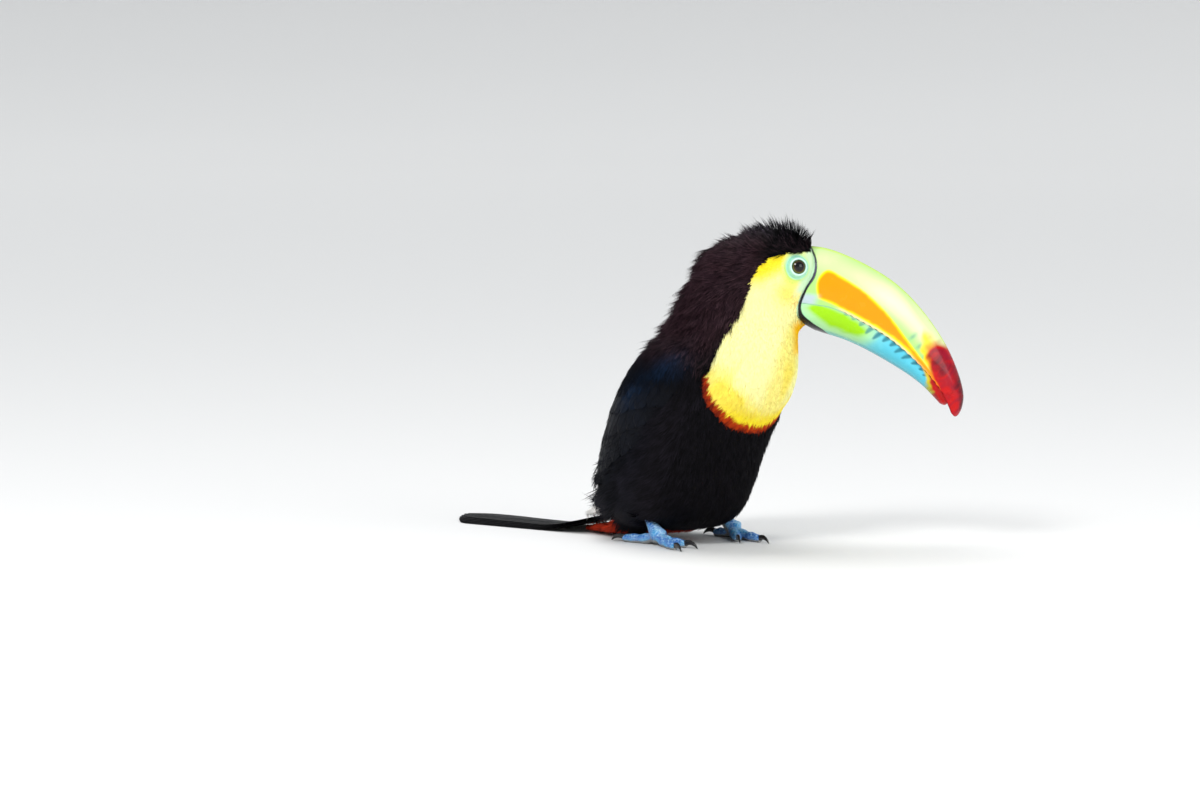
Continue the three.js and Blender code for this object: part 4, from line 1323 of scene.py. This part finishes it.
def foot_limbs(foot):
    """The toes and the shank of a foot: each a dense line and its radius along it."""
    limbs = []
    for length, angle in TOES.values():
        line = foot_line(foot, angle, [(2.2, 5), (length * 0.35, 3.1), (length * 0.7, 2.5), (length, 2.2)])
        t = np.linspace(0, 1, len(line))
        radius = (TOE_RADIUS - 0.8 * t) * (1 + 0.10 * np.cos(6 * math.pi * t)) * (1 - 0.3 * ease(0.88, 1, t))
        limbs.append((line, radius))
    line = foot_line(foot, SHANK_LEAN[foot], [(-3.5, 4.6), (0, 6.4), (5, 11), (11, 19), (13, 22)])
    t = np.linspace(0, 1, len(line))
    limbs.append((line, SHANK_RADIUS - 1.9 * ease(0.15, 0.6, t) - 1.6 * (1 - ease(0, 0.1, t))))
    return limbs


def cells(u, v):
    """Distance from the border between uneven cells of about one unit, 0 on it, at flat places."""
    column, row = np.floor(u), np.floor(v)
    first, second = np.full(len(u), 9.0), np.full(len(u), 9.0)
    for i in (-1, 0, 1):
        for j in (-1, 0, 1):
            a, b = column + i, row + j
            seed_u = a + 0.5 + 0.38 * np.sin(a * 12.7 + b * 7.3)
            seed_v = b + 0.5 + 0.38 * np.sin(a * 5.1 - b * 17.9 + 1)
            far = np.hypot(u - seed_u, v - seed_v)
            second = np.minimum(second, np.maximum(first, far))
            first = np.minimum(first, far)
    return second - first


def scales(points, limbs):
    """How far inside its scale each place on a foot is, and how much it faces up."""
    best = np.full(len(points), np.inf)
    inside, upper = np.zeros(len(points)), np.zeros(len(points))
    for line, radius in limbs:
        gap = np.linalg.norm(points[:, None] - line[None, ::2], axis=2)
        near = gap.argmin(1) * 2
        off = points - line[near]
        far = gap.min(1) / radius[near]
        forward = unit(np.gradient(line, axis=0))[near]
        up = unit(np.array([0, 0, 1.0]) - forward[:, 2:] * forward)
        run = run_of(line)[near] + dots(off, forward)
        height = dots(unit(off), up)
        across = np.arctan2(dots(off, np.cross(forward, up)), dots(off, up)) * radius[near]
        plates = cells(run / SCUTE, across / (SCUTE * 1.7) + 0.5)
        beads = cells(run / (SCUTE * 0.62), across / (SCUTE * 0.62))
        top = ease(0.35, 0.6, height)
        take = far < best
        best[take] = far[take]
        inside[take] = (plates * top + beads * (1 - top))[take]
        upper[take] = height[take]
    return inside, upper


def add_foot(foot):
    """A foot's shank, toes and pads as one scaly skin, flat where it stands on the floor."""
    limbs = foot_limbs(foot)
    bm = bmesh.new()
    for line, radius in limbs:
        points, faces = closed_loft(tube_rings(line, radius, LIMB_SIDES))
        part = bpy.data.meshes.new("limb")
        part.from_pydata((points * METRES).tolist(), [], faces.tolist())
        bm.from_mesh(part)
    points, faces = mesh_arrays(remeshed(bm, FOOT_VOXEL))
    points = smoothed(points / METRES, neighbours(len(points), faces), 5)
    normals = vertex_normals(points, faces)
    inside, upper = scales(points, limbs)
    points = points + normals * (0.38 * ease(0.0, 0.4, inside) - 0.2)[:, None]
    points[:, 2] = np.maximum(points[:, 2], 0.02 * np.abs(normals[:, 2]))
    border = ease(0.3, 0.05, inside)
    colour = layered(
        FOOT_BLUE,
        (FOOT_CYAN, np.clip(0.4 + 0.5 * ripple(points, 5), 0, 1)),
        (FOOT_PALE_AND_HIGHLIGHT, 0.75 * border),
        # A painted highlight on the scales that face up, above the floor.
        (FOOT_PALE_AND_HIGHLIGHT, 0.4 * ease(0.6, 1.0, upper) * ease(4.5, 8, points[:, 2])),
        (mix(FOOT_SOLE, SOLE_SEAM, border), 0.9 * ease(-0.15, -0.55, upper)),
    )
    nodes = [f"shank_{foot}"] + [f"toe_{toe}_{foot}" for toe in TOES]
    piece(f"foot_{foot}", points, halved(faces), colour, SCALE, nodes)


def add_claw(foot, toe):
    """A curved claw, flattened from side to side, that rises from the toe and comes down to the floor."""
    length, angle = TOES[toe]
    arch = [(-2.2, 2.5), (CLAW_LENGTH * 0.35, 3.6), (CLAW_LENGTH * 0.75, 2.4), (CLAW_LENGTH, 0.35)]
    line = foot_line(foot, angle, [(length + further, height) for further, height in arch])
    t = np.linspace(0, 1, len(line))
    radius = CLAW_RADIUS * (1 - t) ** 0.7 + 0.12
    points, faces = closed_loft(tube_rings(line, radius, LIMB_SIDES, flat=0.72))
    pale = np.r_[np.repeat(ease(0.2, 0.0, t) * 0.5, LIMB_SIDES), 0, 0]
    name = f"claw_{toe}_{foot}"
    piece(f"{name}_horn", points, faces, mix(CLAW_BLACK, CLAW_ROOT, pale), CLAW, [name])


for foot in FEET:
    add_foot(foot)
    for toe in TOES:
        add_claw(foot, toe)

# ---- wing feathers and tail

VANE_ACROSS = np.array([-1, -0.85, -0.5, -0.1, 0, 0.1, 0.5, 0.85, 1])
VANE_RING = np.concatenate([VANE_ACROSS, VANE_ACROSS[-2:0:-1]])  # over it, and back under it


def vane_width(u, tip):
    """How wide a vane is along its length: narrow at its root, rounded at its tip."""
    return (0.5 + 0.5 * ease(0, 0.35, u)) * np.sqrt(np.clip(1 - ease(tip, 1.0, u) ** 2, 0.004, 1))


def vane_map(u, places):
    """The corners of vanes on the OFBake map, from each one's middle and size there."""
    under = np.where(np.arange(len(VANE_RING)) < len(VANE_ACROSS), 0, 0.03)
    flat = stacked(VANE_RING * 0.45 + under, u[:, None] - 0.5).reshape(-1, 2)
    flat = np.vstack([flat, (0, -0.53), (0, 0.53)])
    return (places[:, :1] + flat * places[:, 1:]).reshape(-1, 2)


def vanes(centre, side, out, half_width, colours, places, thick, tip, ragged=0.04, crown=0.12):
    """Flat feathers with a raised shaft, a slight crown and uneven edges, each a closed solid.

    centre, side, out and colours are (feathers, steps, 3); half_width is one for each feather. tip is
    the share of the length at which they begin to round off."""
    count, steps = centre.shape[:2]
    u = np.linspace(0, 1, steps)
    v = VANE_ACROSS
    half = half_width[:, None, None] * vane_width(u, tip)[:, None]
    notch = 1 - ragged * rng.random((count, steps, 2)) * ease(0.2, 0.5, u)[:, None]
    across = half * v * np.where(v < 0, notch[..., :1], notch[..., 1:]) ** (np.abs(v) > 0.8)
    droop = -crown * half * v**2
    shaft = 0.28 * (v == 0) * (1 - 0.7 * u[:, None])
    spine = centre[:, :, None] + side[:, :, None] * across[..., None]
    top = spine + out[:, :, None] * (droop + shaft)[..., None]
    low = spine + out[:, :, None] * (droop - thick * (1 - 0.75 * v**4))[..., None]
    rings = np.concatenate([top, low[:, :, -2:0:-1]], 2)
    columns = len(VANE_RING)
    ends = np.stack([rings[:, 0].mean(1), rings[:, -1].mean(1)], 1)
    points = np.concatenate([rings.reshape(count, -1, 3), ends], 1)
    faces = loft_faces(steps, columns) + np.arange(count)[:, None, None] * points.shape[1]
    # Painted shade: each vane darker towards its root and lighter towards its tip.
    shade = colours[:, :, None] * (0.85 + 0.3 * ease(0.1, 0.9, u))[:, None, None]
    shade = shade * (1 - 0.35 * bell(VANE_RING, 0, 0.06))[:, None]
    shade = np.broadcast_to(shade, rings.shape).reshape(count, -1, 3)
    shade = np.concatenate([shade, shade[:, :1], shade[:, -1:]], 1)
    length = np.linalg.norm(np.diff(centre, axis=1), axis=2).sum(1)[:, None]
    run = u[:, None] * length[..., None] - np.abs(VANE_RING) * half_width[:, None, None]
    barb = np.concatenate([run.reshape(count, -1), np.zeros((count, 1)), length], 1)
    made = [v.reshape(-1, 3) for v in (points, faces, shade)]
    return *made, vane_map(u, places), barb.ravel()


def wing_spot(side, z, phi):
    """Places on the skin over the wing, at heights and angles, and the ways out there."""
    x, y, heading = body_line(z)
    way = heading + np.radians(phi) * SIDES[side]
    outward = stacked(np.cos(way), np.sin(way), 0)
    return met(stacked(x, y, z) + outward * 100, -outward)


# Rows of wing feathers, each over the one before it: how many, the heights and angles of the first
# and last feathers' roots and tips, their half width and their lift.
WING_ROWS = [
    dict(count=11, roots=[(92, 90), (96, 150)], tips=[(66, 92), (18, 168)], half=5.4, lift=0.9),
    dict(count=11, roots=[(99, 86), (103, 152)], tips=[(79, 90), (52, 163)], half=5.0, lift=1.3),
    dict(count=11, roots=[(106, 83), (108, 154)], tips=[(89, 86), (76, 161)], half=4.4, lift=1.5),
]
WING_STEPS, TAIL_STEPS = 16, 70  # sections along a feather


def wing_row(side, count, roots, tips, half, lift):
    """The centre lines of a row's feathers, laid over the skin from their roots to their tips."""
    share = np.linspace(0, 1, count)[:, None]
    u = np.linspace(0, 1, WING_STEPS)
    stray = rng.normal(0, 0.7, (3, count, 1))
    (root_z, root_phi), (tip_z, tip_phi) = (
        [first + (last - first) * share for first, last in zip(*ends)] for ends in (roots, tips)
    )
    root_z, tip_z, tip_phi = root_z + stray[0], tip_z + stray[1], tip_phi + stray[2]
    z = root_z + (tip_z - root_z) * u
    phi = root_phi * (1 - u**1.3) + tip_phi * u**1.3
    at, out = (found.reshape(*z.shape, 3) for found in wing_spot(side, z.ravel(), phi.ravel()))
    lift = lift * (0.1 + 0.9 * u) + 0.05 * (count - np.arange(count))[:, None]
    centre = at + unit(out) * lift[..., None]
    way = unit(np.gradient(centre, axis=1))
    across = unit(np.cross(unit(out), way))
    return centre, across, unit(np.cross(way, across)), half * (1 + 0.05 * rng.standard_normal(count))


def add_wing_feathers(side):
    rows = []
    for row in WING_ROWS:
        centre, across, out, half = wing_row(side, **row)
        flat = centre.reshape(-1, 3)
        # The same painted dark blue sheen on the wing feathers.
        blue_sheen = painted_wing_sheen(flat, np.abs(body_place(flat)[0])).reshape(centre.shape[:2])
        shade = mix(BLACK, WING_BLUE_SHEEN, blue_sheen * 0.3) * (1 + 0.12 * rng.standard_normal((len(centre), 1, 1)))
        face = nearest(SKIN_TREE, centre[:, 2])[2]
        spot = np.stack([skin_uv[face].mean(1), np.full((len(centre), 2), PATCH * 1.5)], 1)
        rows.append(vanes(centre, across, out, half, shade, spot, thick=0.25, tip=0.72))
    starts = np.cumsum([0] + [len(row[0]) for row in rows])
    points, faces, colours, uv, barb = (list(column) for column in zip(*rows))
    faces = [row + start for row, start in zip(faces, starts)]
    piece(
        f"wing_feathers_{side}", np.vstack(points), np.vstack(faces), np.vstack(colours), VANE,
        uv=np.vstack(uv), barb=np.concatenate(barb),
    )


def from_trunk(ahead, left, z):
    """Points or directions of the trunk's own frame, ahead and to its left, in the bird's."""
    cos, sin = math.cos(TRUNK_TURN), math.sin(TRUNK_TURN)
    return stacked(ahead * cos - left * sin, ahead * sin + left * cos, z)


def add_tail():
    """Ten long feathers, the middle pair on top, that come down from the rump and lie on the floor."""
    u = np.linspace(0, 1, TAIL_STEPS)
    lean = np.linspace(-1, 1, TAIL.feathers)
    lean = lean[np.argsort(-np.abs(lean), kind="stable")][:, None]
    angle = np.radians(lean * TAIL_ROOT.fan)
    run = TAIL.length * (1 - 0.06 * lean**2) * u
    lift = TAIL.thick * 0.6 * np.round((1 - np.abs(lean)) * (TAIL.feathers / 2 - 0.5))
    low = TAIL_ROOT.rise * (1 - ease(0, 0.5, u)) + lift + TAIL.thick
    left = lean * TAIL_ROOT.gather + run * np.sin(angle)
    centre = from_trunk(-(TAIL_ROOT.back + run * np.cos(angle)), left, low - 0.1)
    across = np.broadcast_to(from_trunk(np.sin(angle), np.cos(angle), 0), centre.shape)
    out = unit(np.cross(across, unit(np.gradient(centre, axis=1))))
    out = out * np.sign(out[..., 2:])
    shade = np.broadcast_to(BLACK, centre.shape) * (1 + 0.15 * rng.standard_normal((TAIL.feathers, 1, 1)))
    share = (np.arange(TAIL.feathers) + 0.5) / TAIL.feathers
    spot = np.array([[(x, 0.5), (0.085, 0.9)] for x in share])
    half = np.full(TAIL.feathers, TAIL.width / 2)
    points, faces, colours, uv, barb = vanes(
        centre, across, out, half, shade, spot, thick=TAIL.thick * 0.4, tip=0.86, ragged=0.03, crown=0.03
    )
    piece("tail_feathers", points, faces, colours, VANE, ["tail"], uv=uv, barb=barb)


for side in SIDES:
    add_wing_feathers(side)
add_tail()

# ---- camera, floor and light

CAMERA = SimpleNamespace(aim=(-56.5, 0, 89.5), elevation=5.0, distance=2826.0, lens=135, sensor=36)
FLOOR_FLAT, FLOOR_BEND = 6.0, 3.0  # metres: its level radius, and that of the sweep
FLOOR_COLOUR = (0.80, 0.795, 0.785, 1)
SKY_COLOUR = (0.9, 0.95, 1.0, 1)


def aim(thing, way, axis):
    """Turns an object so that its own axis points along a way, with its +Y up."""
    thing.rotation_mode = "QUATERNION"
    thing.rotation_quaternion = Vector(way).to_track_quat(axis, "Y")


def add_camera():
    pitch = math.radians(CAMERA.elevation)
    look = np.array([0, math.cos(pitch), -math.sin(pitch)])
    data = bpy.data.cameras.new("camera")
    data.lens, data.sensor_width = CAMERA.lens, CAMERA.sensor
    camera = put("camera", data)
    camera.location = in_row(CAMERA.aim) - look * CAMERA.distance * METRES
    aim(camera, look, "-Z")
    bpy.context.scene.camera = camera


def add_light(name, at, *, size, power):
    """A square soft light that faces the bird."""
    data = bpy.data.lights.new(name, "AREA")
    data.size, data.energy = size, power
    lamp = put(name, data)
    lamp.location = at
    aim(lamp, Vector((0, 0, 0.1)) - lamp.location, "-Z")


def add_sun(towards, strength):
    """A broad even light on the floor, the backdrop and the bird."""
    data = bpy.data.lights.new("top", "SUN")
    data.energy, data.angle = strength, 0.7
    aim(put("top", data), towards, "Z")


def add_floor():
    """A pale floor that sweeps up into a backdrop on every side, far from the bird."""
    sides = 96
    bend = np.linspace(0.1, math.pi / 2, 12)
    radii = np.r_[np.linspace(0.5, FLOOR_FLAT, 12), FLOOR_FLAT + FLOOR_BEND * np.sin(bend)]
    heights = np.r_[np.zeros(12), FLOOR_BEND - FLOOR_BEND * np.cos(bend)]
    ring = stacked(np.cos(turns(sides)), np.sin(turns(sides)), 0)
    points = radii[:, None, None] * ring + heights[:, None, None] * np.array([0, 0, 1.0])
    faces = grid_faces(len(radii), sides).tolist()
    faces += [((i + 1) % sides, i, sides * len(radii)) for i in range(sides)]
    mesh = bpy.data.meshes.new("floor")
    mesh.from_pydata([*points.reshape(-1, 3).tolist(), (0, 0, 0)], [], faces)
    mesh.shade_smooth()
    material = bpy.data.materials.new("floor")
    material.use_nodes = True
    surface = material.node_tree.nodes["Principled BSDF"]
    surface.inputs["Base Color"].default_value = FLOOR_COLOUR
    surface.inputs["Roughness"].default_value = 0.7
    mesh.materials.append(material)
    put("floor", mesh)


def add_world():
    world = bpy.data.worlds.new("studio")
    world.use_nodes = True
    sky = world.node_tree.nodes["Background"]
    sky.inputs["Color"].default_value = SKY_COLOUR
    sky.inputs["Strength"].default_value = 0.45
    bpy.context.scene.world = world


add_camera()
add_floor()
add_light("key", (-0.9, -1.5, 1.7), size=0.7, power=26)
add_light("fill", (1.6, -1.4, 0.9), size=1.4, power=19)
add_sun((-0.35, 0.55, 1.6), strength=1.6)
add_world()
bpy.context.scene.view_settings.view_transform = "Standard"
